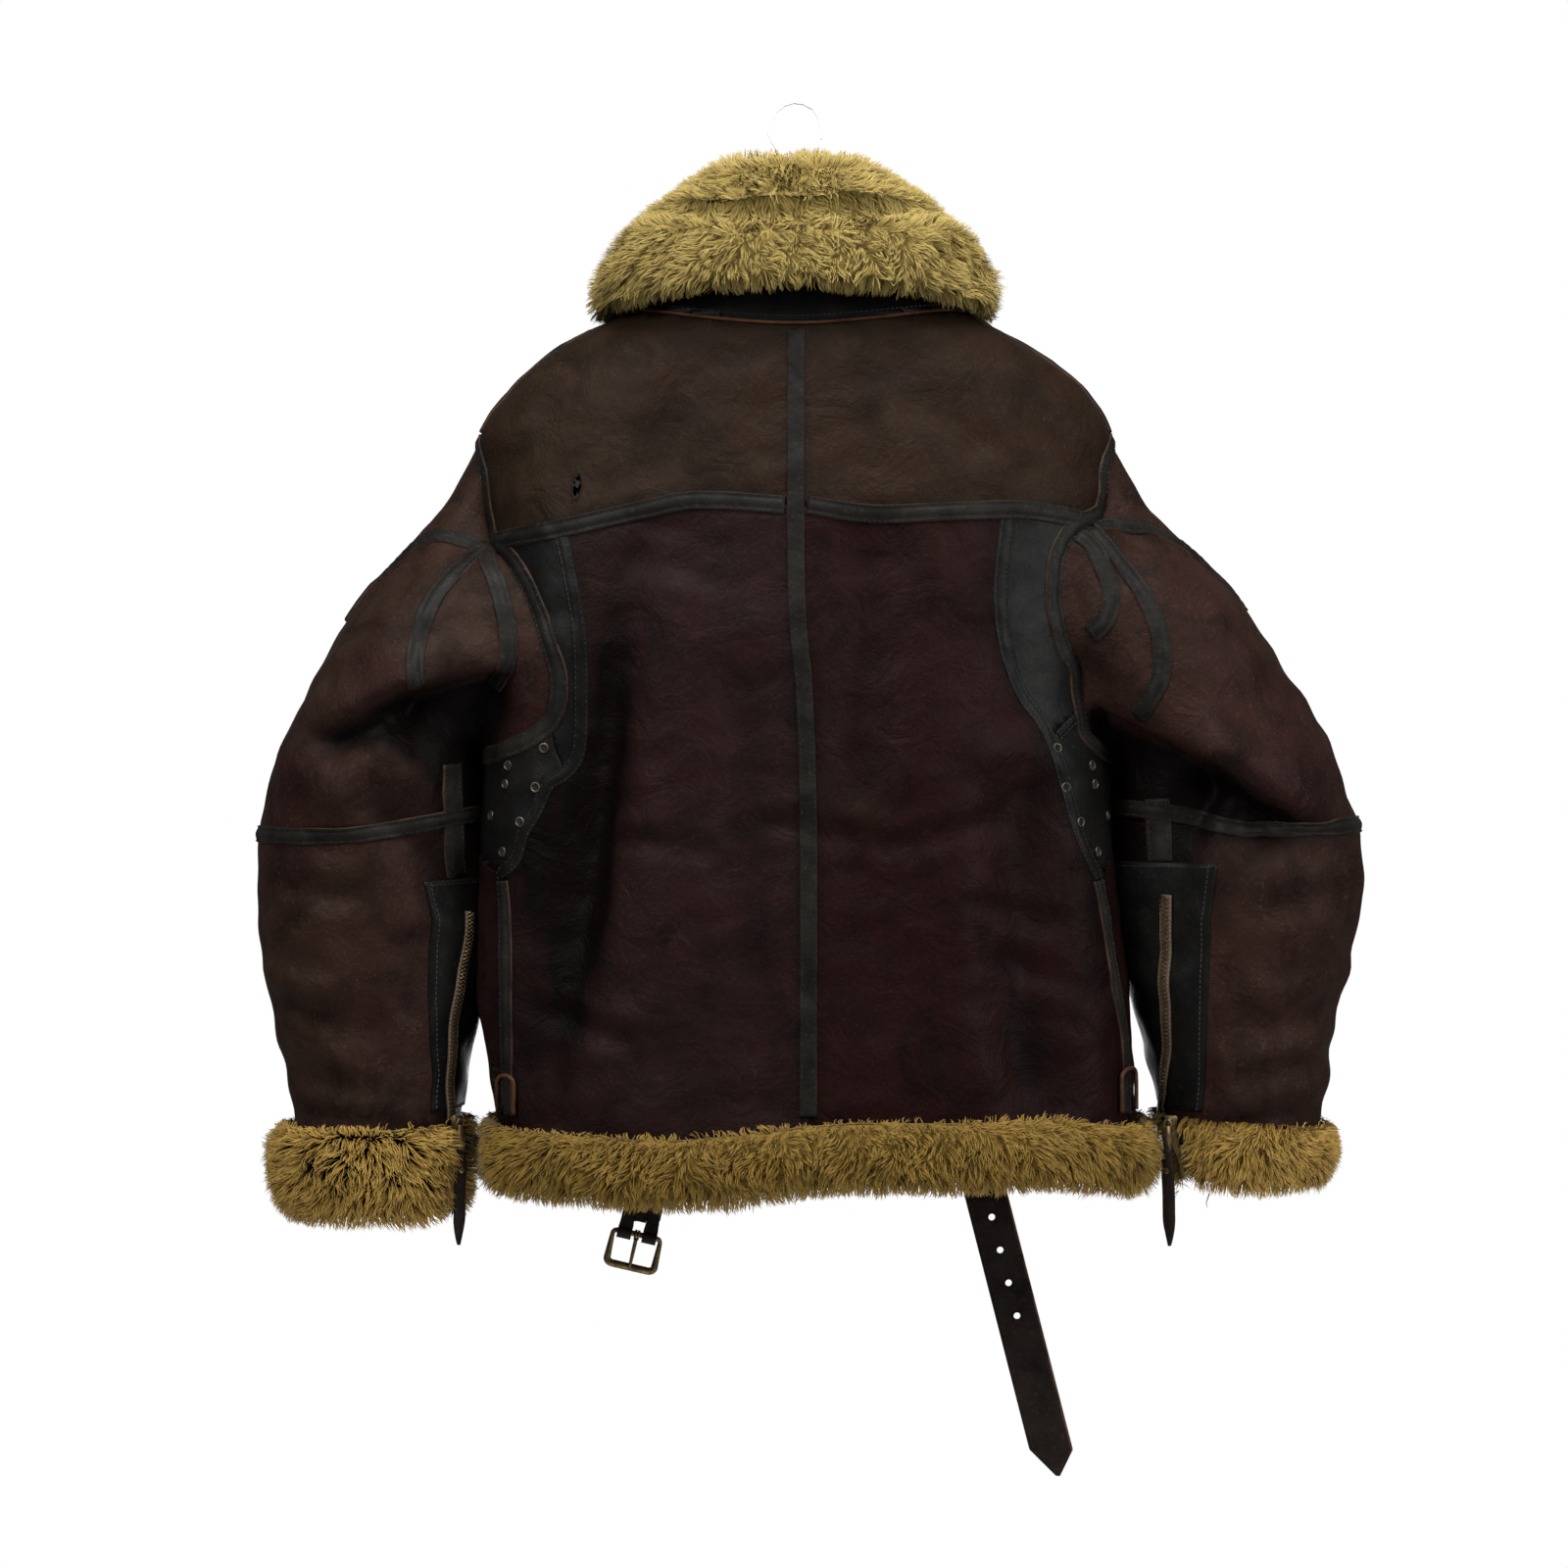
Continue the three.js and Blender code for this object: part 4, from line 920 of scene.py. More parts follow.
def smooth_leather(name, deep, main, worn, rough=0.42, edge_worn=None):
    """Smooth sewn leather with fine pores, and worn edges where a strip has them."""
    item, tree, shader = new_material(name)
    place = place_of(tree)
    blotch = noise(tree, place, 34, 4, 0.6, 0.6)
    fine = noise(tree, place, 300, 3, 0.6)
    colour = mix(tree, span(tree, blotch, 0.35, 0.7), srgb(*main), srgb(*deep))
    colour = mix(tree, span(tree, fine, 0.58, 0.8, 0, 0.45), colour, srgb(*worn))
    if edge_worn is not None:
        edge = span(tree, number(tree, "edge"), 0.9, 0.97)
        edge = product(tree, edge, span(tree, noise(tree, place, 45, 3, 0.7), 0.36, 0.56))
        colour = mix(tree, edge, colour, srgb(*edge_worn))
    normal = bump(tree, cells(tree, place, 900), 0.18, 0.0004)
    normal = bump(tree, noise(tree, place, 130, 4, 0.6, 0.6), 0.3, 0.0012, normal)
    roughness = span(tree, blotch, 0.3, 0.7, rough, rough + 0.14)
    finish_shader(tree, shader, colour, roughness, normal, Specular_IOR_Level=0.06)
    return item


def fur_material(name, root, main, tip):
    """Fur that is darker at the roots of its locks, in part painted shade of the fur's depth, and paler at
    their tips.
    """
    item, tree, shader = new_material(name)
    place = place_of(tree)
    rise, tint = number(tree, "rise"), number(tree, "tint")
    # Roots darker than tips: in part the fur's own colour, in part painted shade deep in the fur
    colour = mix(tree, span(tree, rise, 0.05, 0.5), srgb(*root), srgb(*main))
    colour = mix(tree, span(tree, rise, 0.5, 1.0, 0, 0.85), colour, srgb(*tip))
    dark = [value * 0.68 for value in srgb(*main)[:3]] + [1.0]
    colour = mix(tree, span(tree, tint, 0.0, 0.5, 0.4, 0.0), colour, dark)
    colour = mix(tree, span(tree, noise(tree, place, 30, 3, 0.6), 0.48, 0.74, 0, 0.3), colour, srgb(*root))
    normal = bump(tree, noise(tree, place, 900, 2, 0.5), 0.15, 0.0005)
    rough = span(tree, tint, 0, 1, 0.62, 0.8)
    finish_shader(tree, shader, colour, rough, normal, Specular_IOR_Level=0.1, Sheen_Weight=0.08,
                  Sheen_Roughness=0.4)
    return item


def metal_material(name, clean, dull, rough=0.36):
    """Old metal with patches of dull patina."""
    item, tree, shader = new_material(name)
    place = place_of(tree)
    patina = noise(tree, place, 160, 4, 0.65, 0.5)
    colour = mix(tree, span(tree, patina, 0.36, 0.62), srgb(*clean), srgb(*dull))
    normal = bump(tree, noise(tree, place, 800, 3, 0.6), 0.12, 0.0004)
    roughness = span(tree, patina, 0.3, 0.7, rough, rough + 0.25)
    finish_shader(tree, shader, colour, roughness, normal, Metallic=0.92)
    return item


def plain_material(name, main, deep, scale=300, rough=0.45):
    """A plain surface with fine spots of two like colours."""
    item, tree, shader = new_material(name)
    place = place_of(tree)
    spots = noise(tree, place, scale, 3, 0.6)
    colour = mix(tree, span(tree, spots, 0.4, 0.7), srgb(*main), srgb(*deep))
    normal = bump(tree, spots, 0.15, 0.0004)
    finish_shader(tree, shader, colour, span(tree, spots, 0.3, 0.7, rough, rough + 0.15), normal)
    return item


def thread_material():
    item, tree, shader = new_material("thread")
    pick = number(tree, "pick")
    colour = mix(tree, pick, srgb(30, 27, 24), srgb(96, 82, 62))
    normal = bump(tree, noise(tree, place_of(tree), 2500, 2, 0.5), 0.3, 0.0002)
    finish_shader(tree, shader, colour, span(tree, pick, 0, 1, 0.6, 0.7), normal)
    return item


BROWN_LEFT = leather_material("leather_brown_left", (11, 6, 6), (28, 17, 14), (30, 15, 15), (52, 39, 33))
BROWN_RIGHT = leather_material("leather_brown_right", (9, 3, 3), (26, 13, 10), (25, 9, 9), (46, 31, 25))
YOKE_BROWN = leather_material("leather_brown_yoke", (17, 11, 7), (34, 24, 16), (31, 19, 13), (58, 47, 36))
SLEEVE_BROWN = leather_material("leather_brown_sleeve", (14, 8, 6), (41, 28, 22), (36, 20, 18), (74, 58, 50))
BLACK = smooth_leather("leather_black", (5, 5, 5), (16, 15, 14), (36, 34, 31), 0.38)
TAPE = smooth_leather("leather_tape", (9, 8, 7), (25, 23, 20), (48, 44, 39), 0.44, (54, 37, 26))
PIPING = smooth_leather("piping_brown", (34, 20, 12), (66, 42, 27), (96, 68, 46), 0.5)
STRAP = smooth_leather("strap_leather", (12, 9, 8), (33, 26, 23), (64, 52, 44), 0.44, (84, 60, 42))
ZIP_TAPE = plain_material("zip_tape", (64, 46, 32), (34, 25, 19), 900, 0.8)
FUR_COLLAR = fur_material("fur_collar", (96, 80, 38), (134, 115, 61), (158, 139, 82))
FUR_HEM = fur_material("fur_hem", (76, 57, 20), (110, 86, 34), (134, 108, 52))
FUR_CUFF = fur_material("fur_cuff", (92, 69, 26), (132, 104, 47), (160, 129, 69))
BRASS = metal_material("brass", (122, 102, 66), (70, 60, 44))
DULL_METAL = metal_material("dull_metal", (86, 80, 70), (48, 44, 38))
HANGER_WHITE = plain_material("hanger_white", (246, 246, 245), (238, 238, 237))
THREAD = thread_material()


# Fur: a soft form whose locks lean, wave and gather in tufts
LOCK_SHARES = np.array([0.0, 0.28, 0.56, 0.82, 1.0])
TUFT_REACH = 5.5
TUFT_LOCKS = 11
# Grid on which a form's locks are scattered
SCATTER_ROWS = 240
SCATTER_COLUMNS = 96


def close_grid(base, count_u, count_v):
    u, v = np.meshgrid(np.linspace(0, 1, count_u), np.linspace(0, 1, count_v, endpoint=False), indexing="ij")
    return u, v, base(u, v)


def raw_normals(base, u, v):
    du = base(np.clip(u + 0.002, 0, 1), v) - base(np.clip(u - 0.002, 0, 1), v)
    dv = base(u, np.mod(v + 0.004, 1)) - base(u, np.mod(v - 0.004, 1))
    return unit(np.cross(du, dv))


def grid_normals(base, u, v):
    """Normals that point out of a form whose sections are closed loops."""
    ring_v = np.linspace(0, 1, 64, endpoint=False)
    ring_u = np.full(64, 0.5)
    ring = base(ring_u, ring_v)
    outward = ((ring - ring.mean(axis=0)) * raw_normals(base, ring_u, ring_v)).sum()
    return raw_normals(base, u, v) * np.sign(outward)


def inset(base, depth):
    return lambda u, v: base(u, v) - grid_normals(base, u, v) * depth


def closed_rows(rows, v):
    """Values on a smooth closed curve through rows, v running from 0 to 1 all round."""
    count = len(rows)
    place = np.mod(v, 1) * count
    i = np.floor(place).astype(int)
    t = (place - i)[..., None]
    return through(t, *[rows[(i + step) % count] for step in (-1, 0, 1, 2)])


def scatter(base, count, density, draw):
    """Places spread evenly over a form, thinned where the density is low."""
    u, v, points = close_grid(base, SCATTER_ROWS, SCATTER_COLUMNS)
    here = points[:-1]
    wide = np.linalg.norm(points[1:] - here, axis=-1)
    tall = np.linalg.norm(np.roll(here, -1, axis=1) - here, axis=-1)
    weight = wide * tall * density(u[:-1], v[:-1])
    total = np.cumsum(weight.ravel())
    spots = (np.arange(count) + draw.uniform(0, 1, count)) / count * total[-1]
    cell = np.searchsorted(total, spots)
    row, column = np.unravel_index(np.minimum(cell, weight.size - 1), weight.shape)
    down = (row + draw.uniform(0, 1, count)) / (SCATTER_ROWS - 1)
    return down, (column + draw.uniform(0, 1, count)) / SCATTER_COLUMNS


def tufts_of(points, members, draw):
    """Index of a leader for each point, the nearest of some leaders that gather about so many members."""
    count = max(8, int(len(points) / members))
    leaders = draw.choice(len(points), count, replace=False)
    tree = KDTree(count)
    for index, leader in enumerate(leaders):
        tree.insert(points[leader], index)
    tree.balance()
    return np.array([leaders[tree.find(point)[1]] for point in points])


def lay_of(roots, out, way, seed):
    """The way that locks lie, in soft waves, and how far they lift from the skin."""
    way = unit(way - out * (way * out).sum(axis=1, keepdims=True))
    side = np.cross(out, way)
    turn = 0.55 * waves(roots, 22, 7, seed + 1) + 0.3 * waves(roots, 60, 7, seed + 2)
    lying = way * np.cos(turn)[:, None] + side * np.sin(turn)[:, None]
    return lying, 0.6 + 0.12 * waves(roots, 22, 7, seed + 3)


def lock_middles(roots, out, size, start, end, leader, draw):
    """Middle lines of locks: each bends over, curls and reaches for the tip of its tuft's leader."""
    count = len(roots)
    phase = draw.uniform(0, 2 * math.pi, count)[leader] + draw.normal(scale=0.5, size=count)
    curl = unit(np.cross(end, out))
    tips = roots + end * size[:, None]
    tip_gap = tips[leader] - tips
    tip_gap *= np.minimum(1, TUFT_REACH / np.maximum(np.linalg.norm(tip_gap, axis=1, keepdims=True), 1e-6))
    middles = []
    for share in LOCK_SHARES:
        bend = start * (share - 0.5 * share ** 2)
        centre = roots + (bend + end * 0.5 * share ** 2 + end * 0.12 * share) * size[:, None]
        sway = np.sin(phase + share * 5.2) - np.sin(phase)
        middles.append(centre + curl * (1.1 * sway * share)[:, None] + tip_gap * (0.5 * share ** 1.5))
    return middles


def ribbons(middles, flat, width):
    """Flat locks that narrow to a point: their points, and their faces of four and of three corners."""
    blocks = []
    for step, centre in enumerate(middles[:-1]):
        half = flat * (width[:, step] * 0.5)[:, None]
        blocks += [centre - half, centre + half]
    strands = np.stack([*blocks, middles[-1]], axis=1)
    first = np.arange(len(strands))[:, None] * strands.shape[1]
    quads = np.concatenate([first + np.array([2 * k, 2 * k + 1, 2 * k + 3, 2 * k + 2]) for k in range(3)])
    return strands, quads, first + np.array([6, 7, 8])


def fur(name, base, count, lock, comb, density, material, seed, mesh, upright=0.5):
    """A fur band over a form: base gives points from two shares, comb the way the locks lie."""
    draw = np.random.default_rng(seed)
    u, v = scatter(base, count, density, draw)
    roots = base(u, v)
    out = grid_normals(base, u, v)
    lying, lift = lay_of(roots, out, comb(roots, out), seed)
    size = lock * draw.uniform(0.72, 1.12, count) * (1 + 0.08 * waves(roots, 40, 7, seed + 4))
    size *= 1 - upright * np.clip(out[:, 2], 0, 1)
    start = unit(out * 1.0 + lying * 0.35 + draw.normal(scale=0.18, size=(count, 3)))
    end = unit(out * lift[:, None] + lying * 1.0 + draw.normal(scale=0.14, size=(count, 3)))
    leader = tufts_of(roots, TUFT_LOCKS, draw)
    middles = lock_middles(roots, out, size, start, end, leader, draw)
    tint = np.clip(0.5 + 0.25 * draw.normal(size=count) + 0.22 * draw.normal(size=count)[leader], 0, 1)
    uneven = 1 + 0.3 * draw.normal(size=count).clip(-1, 1)
    width = 0.95 * np.sqrt(np.clip(1 - LOCK_SHARES, 0, 1)) * uneven[:, None]
    flat = unit(np.cross(end, out) + 1e-6)
    strands, quads, ends = ribbons(middles, flat, width)
    per = strands.shape[1]
    form_u, form_v, form = close_grid(base, *mesh)
    form_points, form_faces = loft(form)
    shift = len(form_points)
    rises = np.tile(np.repeat(LOCK_SHARES, [2, 2, 2, 2, 1]), count)
    all_points = np.concatenate([form_points, strands.reshape(-1, 3)])
    all_faces = form_faces + (quads + shift).tolist() + (ends + shift).tolist()
    values = {
        "rise": np.concatenate([np.full(shift, 0.4), rises]),
        "tint": np.concatenate([np.full(shift, 0.35), np.repeat(tint, per)]),
    }
    piece = new_piece(name, all_points, all_faces, material, values=values)
    form_out = grid_normals(base, form_u, form_v).reshape(-1, 3)
    ribbon = unit(np.cross(flat, end))
    lean = unit(out * 0.62 + ribbon * 0.38)
    soft = np.concatenate([form_out, np.repeat(lean, per, axis=0)])
    piece.data.normals_split_custom_set_from_vertices(soft.tolist())
    settle(piece, [name])


# Leather panels of the body: name, slot, flat size and material
SIDE_PANELS = (
    ("yoke", "leather_brown", (0.25, 0.17), (YOKE_BROWN, YOKE_BROWN)),
    ("back", "leather_brown", (0.235, 0.46), (BROWN_LEFT, BROWN_RIGHT)),
    ("patch", "leather_black", (0.075, 0.18), (BLACK, BLACK)),
    ("vent", "leather_black", (0.13, 0.11), (BLACK, BLACK)),
    ("front", "leather_brown", (0.34, 0.6), (BROWN_LEFT, BROWN_RIGHT)),
)
PANELS = [("neck_stay", "leather_black", (0.25, 0.045), BLACK)]
for part, slot, flat, looks in SIDE_PANELS:
    PANELS += [(f"{part}_{side}", slot, flat, look) for side, look in zip(SIDES, looks)]


def make_panels():
    outer, inner, faces, labels, painted_shade = make_body_grid()
    away, _, _ = nearest_on(seam_lines(), outer[:, 0], outer[:, 2])
    for name, slot, flat, look in PANELS:
        own = faces[labels == name]
        points, skins, used = shell(outer, inner, own)
        values = {"seam": np.tile(away[used], 2), "painted_shade": np.tile(painted_shade[used], 2)}
        piece = new_piece(name, points, skins, look, values=values)
        settle(piece, [name])


def make_sleeves():
    surfaces = {}
    for side in SIDES:
        for part, first, last in (("upper", 0.0, ELBOW), ("lower", ELBOW, CUFF)):
            name = f"sleeve_{part}_{side}"
            outer, inner, faces, painted_shade = make_sleeve_grid(side, first, last)
            points, skins, used = shell(outer, inner, faces)
            values = {"seam": np.full(len(points), 99.0), "painted_shade": np.tile(painted_shade[used], 2)}
            piece = new_piece(name, points, skins, SLEEVE_BROWN, values=values)
            settle(piece, [name])
        whole, _, faces, _ = make_sleeve_grid(side, 0.0, CUFF)
        surfaces[side] = Surface(whole, faces)
    return surfaces


def body_surface():
    angle, z, faces = body_places()
    outer, _ = body_skin(angle, z)
    return Surface(outer.reshape(-1, 3), faces)


# Tapes on the body
def seam_tape(name, surface, route, half, slot="leather_tape", material=TAPE, **more):
    """A tape that stands for the solid of its name."""
    tape(name, surface, route, half, slot, material, [name], **more)


def line_tape(name, surface, line, half, behind=True, **more):
    seam_tape(name, surface, surface.project(line, TAPE_STEP, behind), half, **more)


SHOULDER_ENDS = (-151, -236)
SHOULDER_TURN = 0.06


def make_body_tapes(body):
    line_tape("tape_centre_back", body, CENTRE_LINE, TAPE_HALF, twin=True)
    zip_looks = {"slot": "zip_tape", "material": ZIP_TAPE, "rise": 0.6, "sewn": False}
    line_tape("front_zip", body, FRONT_TAPE, 8, behind=False, **zip_looks)
    for side in SIDES:
        sign = SIGN[side]
        yoke = YOKE[side]
        line = yoke if side == "left" else yoke[::-1]
        inner = [*line[:-1], (sign * 8, line[-1][1])]
        line_tape(f"tape_yoke_{side}", body, inner, TAPE_HALF + 0.6)
        line_tape(f"tape_side_{side}", body, SIDE_TAPE[side], TAPE_HALF)
        arm_tape(side, body)
        z = np.linspace(*SHOULDER_ENDS, 36)
        angle = np.full_like(z, SHOULDER_TURN if side == "right" else math.pi - SHOULDER_TURN)
        route, _ = body_skin(angle, z)
        seam_tape(f"tape_shoulder_{side}", body, route, TAPE_HALF + 1)


def arm_tape(side, body):
    """The strip round an armhole, on the body's side of the seam."""
    behind, before = ARM_CURVES[side]
    loop = resample(np.concatenate([behind, before[-2:0:-1], behind[:1]]), TAPE_STEP)[:-1]
    route = np.concatenate([loop, loop[:1]])
    seam_tape(f"tape_armhole_{side}", body, route, TAPE_HALF + 0.8, shift=-SIGN[side] * 4.6)


# Tapes on the sleeves
TOP_ROUTES = {
    "left": [(-221, -50, -314), (-233, -40, -315), (-250, -30, -316), (-268, -22, -327),
             (-290, -15, -345), (-315, -8, -372)],
    "right": [(208, -58, -303), (216, -50, -305), (226, -40, -308), (246, -34, -313),
              (268, -26, -328), (290, -18, -344), (314, -8, -366)],
}
ELBOW_RISE = {"left": 0.2, "right": 0.42}
GUSSET_STARTS = {"left": [(-216, -318), (-212, -318)], "right": [(207, -309), (194, -311)]}


def make_sleeve_tapes(side, sleeve):
    line_tape(f"tape_forearm_{side}", sleeve, FOREARM_LINES[side], TAPE_HALF + 3.5, twin=True)
    for index, (start, line) in enumerate(zip(GUSSET_STARTS[side], GUSSET_LINES[side]), start=1):
        line_tape(f"tape_gusset_{side}_{index}", sleeve, [start, *line], TAPE_HALF + 0.5)
    route = spline(TOP_ROUTES[side], TAPE_STEP)
    spots, _ = sleeve.lay(route)
    seam_tape(f"tape_sleeve_{side}", sleeve, resample(spots, TAPE_STEP), TAPE_HALF)
    angle = np.linspace(0, 2 * math.pi, 190)
    inward = np.clip(-np.cos(angle), 0, 1)
    place = ELBOW - ELBOW_RISE[side] * inward ** 1.5 + 0.1 * np.sin(angle) ** 2
    ring = sleeve_skin(side, place, angle)[0]
    seam_tape(f"tape_elbow_{side}", sleeve, resample(ring, TAPE_STEP), TAPE_HALF)


# Zips of the cuffs
def sleeve_spot(side, x, z):
    """Place and angle on the back of the lower sleeve at x and z as seen from behind."""
    rows = SLEEVE[side]
    x, z = np.broadcast_arrays(np.asarray(x, float), np.asarray(z, float))
    middles = (rows[:, 1] + rows[:, 3]) / 2
    place = np.interp(-z, -middles, np.arange(len(rows)))
    for _ in range(6):
        row = sleeve_row(side, place)
        cos = (x - (row[..., 0] + row[..., 2]) / 2) / ((row[..., 0] - row[..., 2]) / 2)
        cos = np.clip(cos, -1, 1)
        level = (row[..., 1] + row[..., 3]) / 2 + cos * (row[..., 1] - row[..., 3]) / 2
        place = np.clip(place + (level - z) / 42, 3, CUFF)
    return place, np.arccos(cos)


PANEL_COLUMNS = 22


def make_zip_panel(side):
    """The black leather panel that the zip is sewn on, round to the inside of the sleeve."""
    edge_points = ZIP_PANEL_EDGES[side]
    z = np.arange(edge_points[0][1], ZIP_PANEL_FOOT - 1, -3.0)
    place, first = sleeve_spot(side, across_of(edge_points, z), z)
    shares = np.linspace(0, 1, PANEL_COLUMNS)[:, None]
    angle = first + (math.pi + 0.16 - first) * shares
    places = place + 0 * shares
    edge = 1 - 0.55 * np.exp(-((shares * PANEL_COLUMNS) / 1.2) ** 2)
    outer = sleeve_skin(side, places, angle, 1.9 * edge)[0]
    inner = sleeve_skin(side, places, angle, 0.1)[0]
    grid = grid_faces(PANEL_COLUMNS, len(z), closed=False)
    points, faces, _ = shell(outer.reshape(-1, 3), inner.reshape(-1, 3), grid)
    piece = new_piece(f"zip_panel_{side}", points, faces, BLACK, values={"edge": np.zeros(len(points))})
    settle(piece, [f"zip_panel_{side}"])
    edge_line, edge_out = sleeve_skin(side, place, first + 0.07, 1.9)
    sew(edge_line, edge_out)
    top_angle = np.linspace(first[1] + 0.07, 2.9, 14)
    top_line, top_out = sleeve_skin(side, np.full(14, place[1]), top_angle, 1.9)
    sew(top_line, top_out)


TOOTH_PITCH = 2.7
# Section of the zip's tape: share of its half width, height
ZIP_SECTION = ((-1, 0.1), (-1, 0.9), (-0.45, 1.0), (-0.3, 1.5), (0.3, 1.5), (0.45, 1.0), (1, 0.9), (1, 0.1))


def make_zip(side):
    """Zip tape with its two rows of teeth."""
    line = spline(ZIP_LINES[side], 2.0)
    place, angle = sleeve_spot(side, line[:, 0], line[:, 1])
    centre, out = sleeve_skin(side, place, angle, 2.1)
    ways = unit(np.gradient(centre, axis=0))
    across = unit(np.cross(out, ways))
    rings = [centre + across * (5.2 * t) + out * high for t, high in ZIP_SECTION]
    points, faces = loft(np.stack(rings, axis=1))
    piece = new_piece(f"zip_{side}", points, faces, ZIP_TAPE)
    settle(piece, [f"zip_{side}"])
    teeth = Joined()
    fine = resample(np.concatenate([centre, across, out], axis=1), 1.0)
    along = np.linspace(0, 1, len(fine))
    count = int(len(line) * 2.0 / TOOTH_PITCH)
    for index in range(count):
        share = (index + 0.5) / count
        row = np.array([np.interp(share, along, column) for column in fine.T])
        at, side_way, up = row[:3], unit(row[3:6]), unit(row[6:])
        way = np.cross(side_way, up)
        for hand in (-1, 1):
            middle = at + way * (0.25 * TOOTH_PITCH * hand) + side_way * (1.05 * hand) + up * 1.9
            add_block(teeth, middle, side_way * 1.65, way * 0.52, up * 0.85)
    for hand in (-1, 1):
        edge = centre + across * (4.4 * hand)
        sew(edge, out, lift=1.0, step=3.0, value=1.0)
    piece = teeth.piece(f"zip_teeth_{side}", BRASS, smooth=False)
    settle(piece)


CORNERS = ((-1, -1), (1, -1), (1, 1), (-1, 1))


def add_tube(joined, rings):
    """A short tube with a wall, from its four rings in order."""
    rings = np.stack(rings)
    points, _ = loft(rings, caps=False)
    joined.add(points, (grid_faces(5, rings.shape[1]) % len(points)).tolist())


def add_block(joined, middle, a, b, c):
    """A small block with a narrower top, given its middle and half axes."""
    low = [middle + sx * a + sy * b - c for sx, sy in CORNERS]
    top = [middle + 0.8 * sx * a + 0.75 * sy * b + c for sx, sy in CORNERS]
    faces = [(0, 3, 2, 1), (4, 5, 6, 7), (0, 1, 5, 4), (1, 2, 6, 5), (2, 3, 7, 6), (3, 0, 4, 7)]
    joined.add(low + top, faces)


# Small hard pieces, made from outlines in their own plane and rounded
def plate(outline, thick, bevel):
    """Points and faces of a rounded plate: outline of (across, up), thickness along its third axis."""
    outline = np.asarray(outline, dtype=float)
    middle = outline.mean(axis=0)
    radius = np.linalg.norm(outline - middle, axis=1, keepdims=True)
    inner = middle + (outline - middle) * (1 - bevel / radius)
    half = thick / 2
    rings = []
    for flat, level in ((inner, -half), (outline, -half + bevel), (outline, half - bevel), (inner, half)):
        rings.append(np.column_stack([flat[:, 0], np.full(len(flat), level), flat[:, 1]]))
    return loft(np.stack(rings))


def placed(points, base, turn):
    """Points of a hanging piece turned about Z and moved to its base."""
    c, s = math.cos(turn), math.sin(turn)
    turned = points @ np.array([[c, s, 0], [-s, c, 0], [0, 0, 1]])
    return turned + base


def round_loop(path, radius, sides=10, closed=True, flat=1.0):
    """A bar bent along a path in a plane, as points and faces."""
    path = np.asarray(path, dtype=float)
    if closed:
        ways = unit(np.roll(path, -1, axis=0) - np.roll(path, 1, axis=0))
    else:
        ways = unit(np.gradient(path, axis=0))
    hint = np.array([0, 1.0, 0])
    across = unit(np.cross(ways, hint))
    radius = np.broadcast_to(radius, len(path))[:, None]
    rings = []
    for index in range(sides):
        turn = 2 * math.pi * index / sides
        rings.append(path + across * radius * math.cos(turn) + hint * radius * flat * math.sin(turn))
    rings = np.stack(rings, axis=1)
    if closed:
        rings = np.concatenate([rings, rings[:1]])
        points, _ = loft(rings, caps=False)
        count = len(path)
        points = points[:count * sides]
        faces = [[index % (count * sides) for index in face] for face in grid_faces(count + 1, sides)]
        return points, faces
    return loft(rings)


CORNER_STEPS = 6


def rounded_square(width, corner):
    """A square with round corners about the origin: across, and up."""
    points = []
    away = width / 2 - corner
    for cx, cz, start in ((1, 1, 0), (-1, 1, 90), (-1, -1, 180), (1, -1, 270)):
        for step in range(CORNER_STEPS + 1):
            turn = math.radians(start + 90 * step / CORNER_STEPS)
            points.append((cx * away + corner * math.cos(turn), cz * away + corner * math.sin(turn)))
    return np.array(points)


# Cuff zip sliders as in the solids: width, thickness, length, distance out, top height
SLIDER_ROW = 10.45
ZIP_STEP = {"left": 8.66, "right": 8.42}
FACE_SHARE = 0.65
SLIDER_SEAT = {"left": -1.3, "right": 0}
SLIDER = (9, 5, 13, 6.3, -719)
CUFF_TAB = (7, 1.6, 26, 11.6, -722)
THONG = (10, 2.4, 62, 11.2, -748.3)
FRONT_SLIDER = (9, 5, 14, 2.2, -166)
FRONT_PULL = (7, 1.8, 30, 7.6, -173)
STEPS_ROUND = 20


def slider_place(side):
    angle = np.array([ZIP_STEP[side] / STEPS_ROUND * 2 * math.pi])
    place = np.array([SLIDER_ROW])
    row = sleeve_row(side, place)[0]
    up = unit(np.array([row[0] - row[2], 0, row[1] - row[3]]))
    half = math.hypot(row[0] - row[2], row[1] - row[3]) / 2
    cos, sin = math.cos(angle[0]), math.sin(angle[0])
    base = np.array([(row[0] + row[2]) / 2, 0, 0]) + up * half * cos
    base[1] = -row[4] * sin
    out = up * cos + np.array([0, -sin, 0])
    turn = FACE_SHARE * math.atan2(out[0], -out[1])
    base[2] = 0
    return base + np.array([math.sin(turn), -math.cos(turn), 0]) * SLIDER_SEAT[side], turn


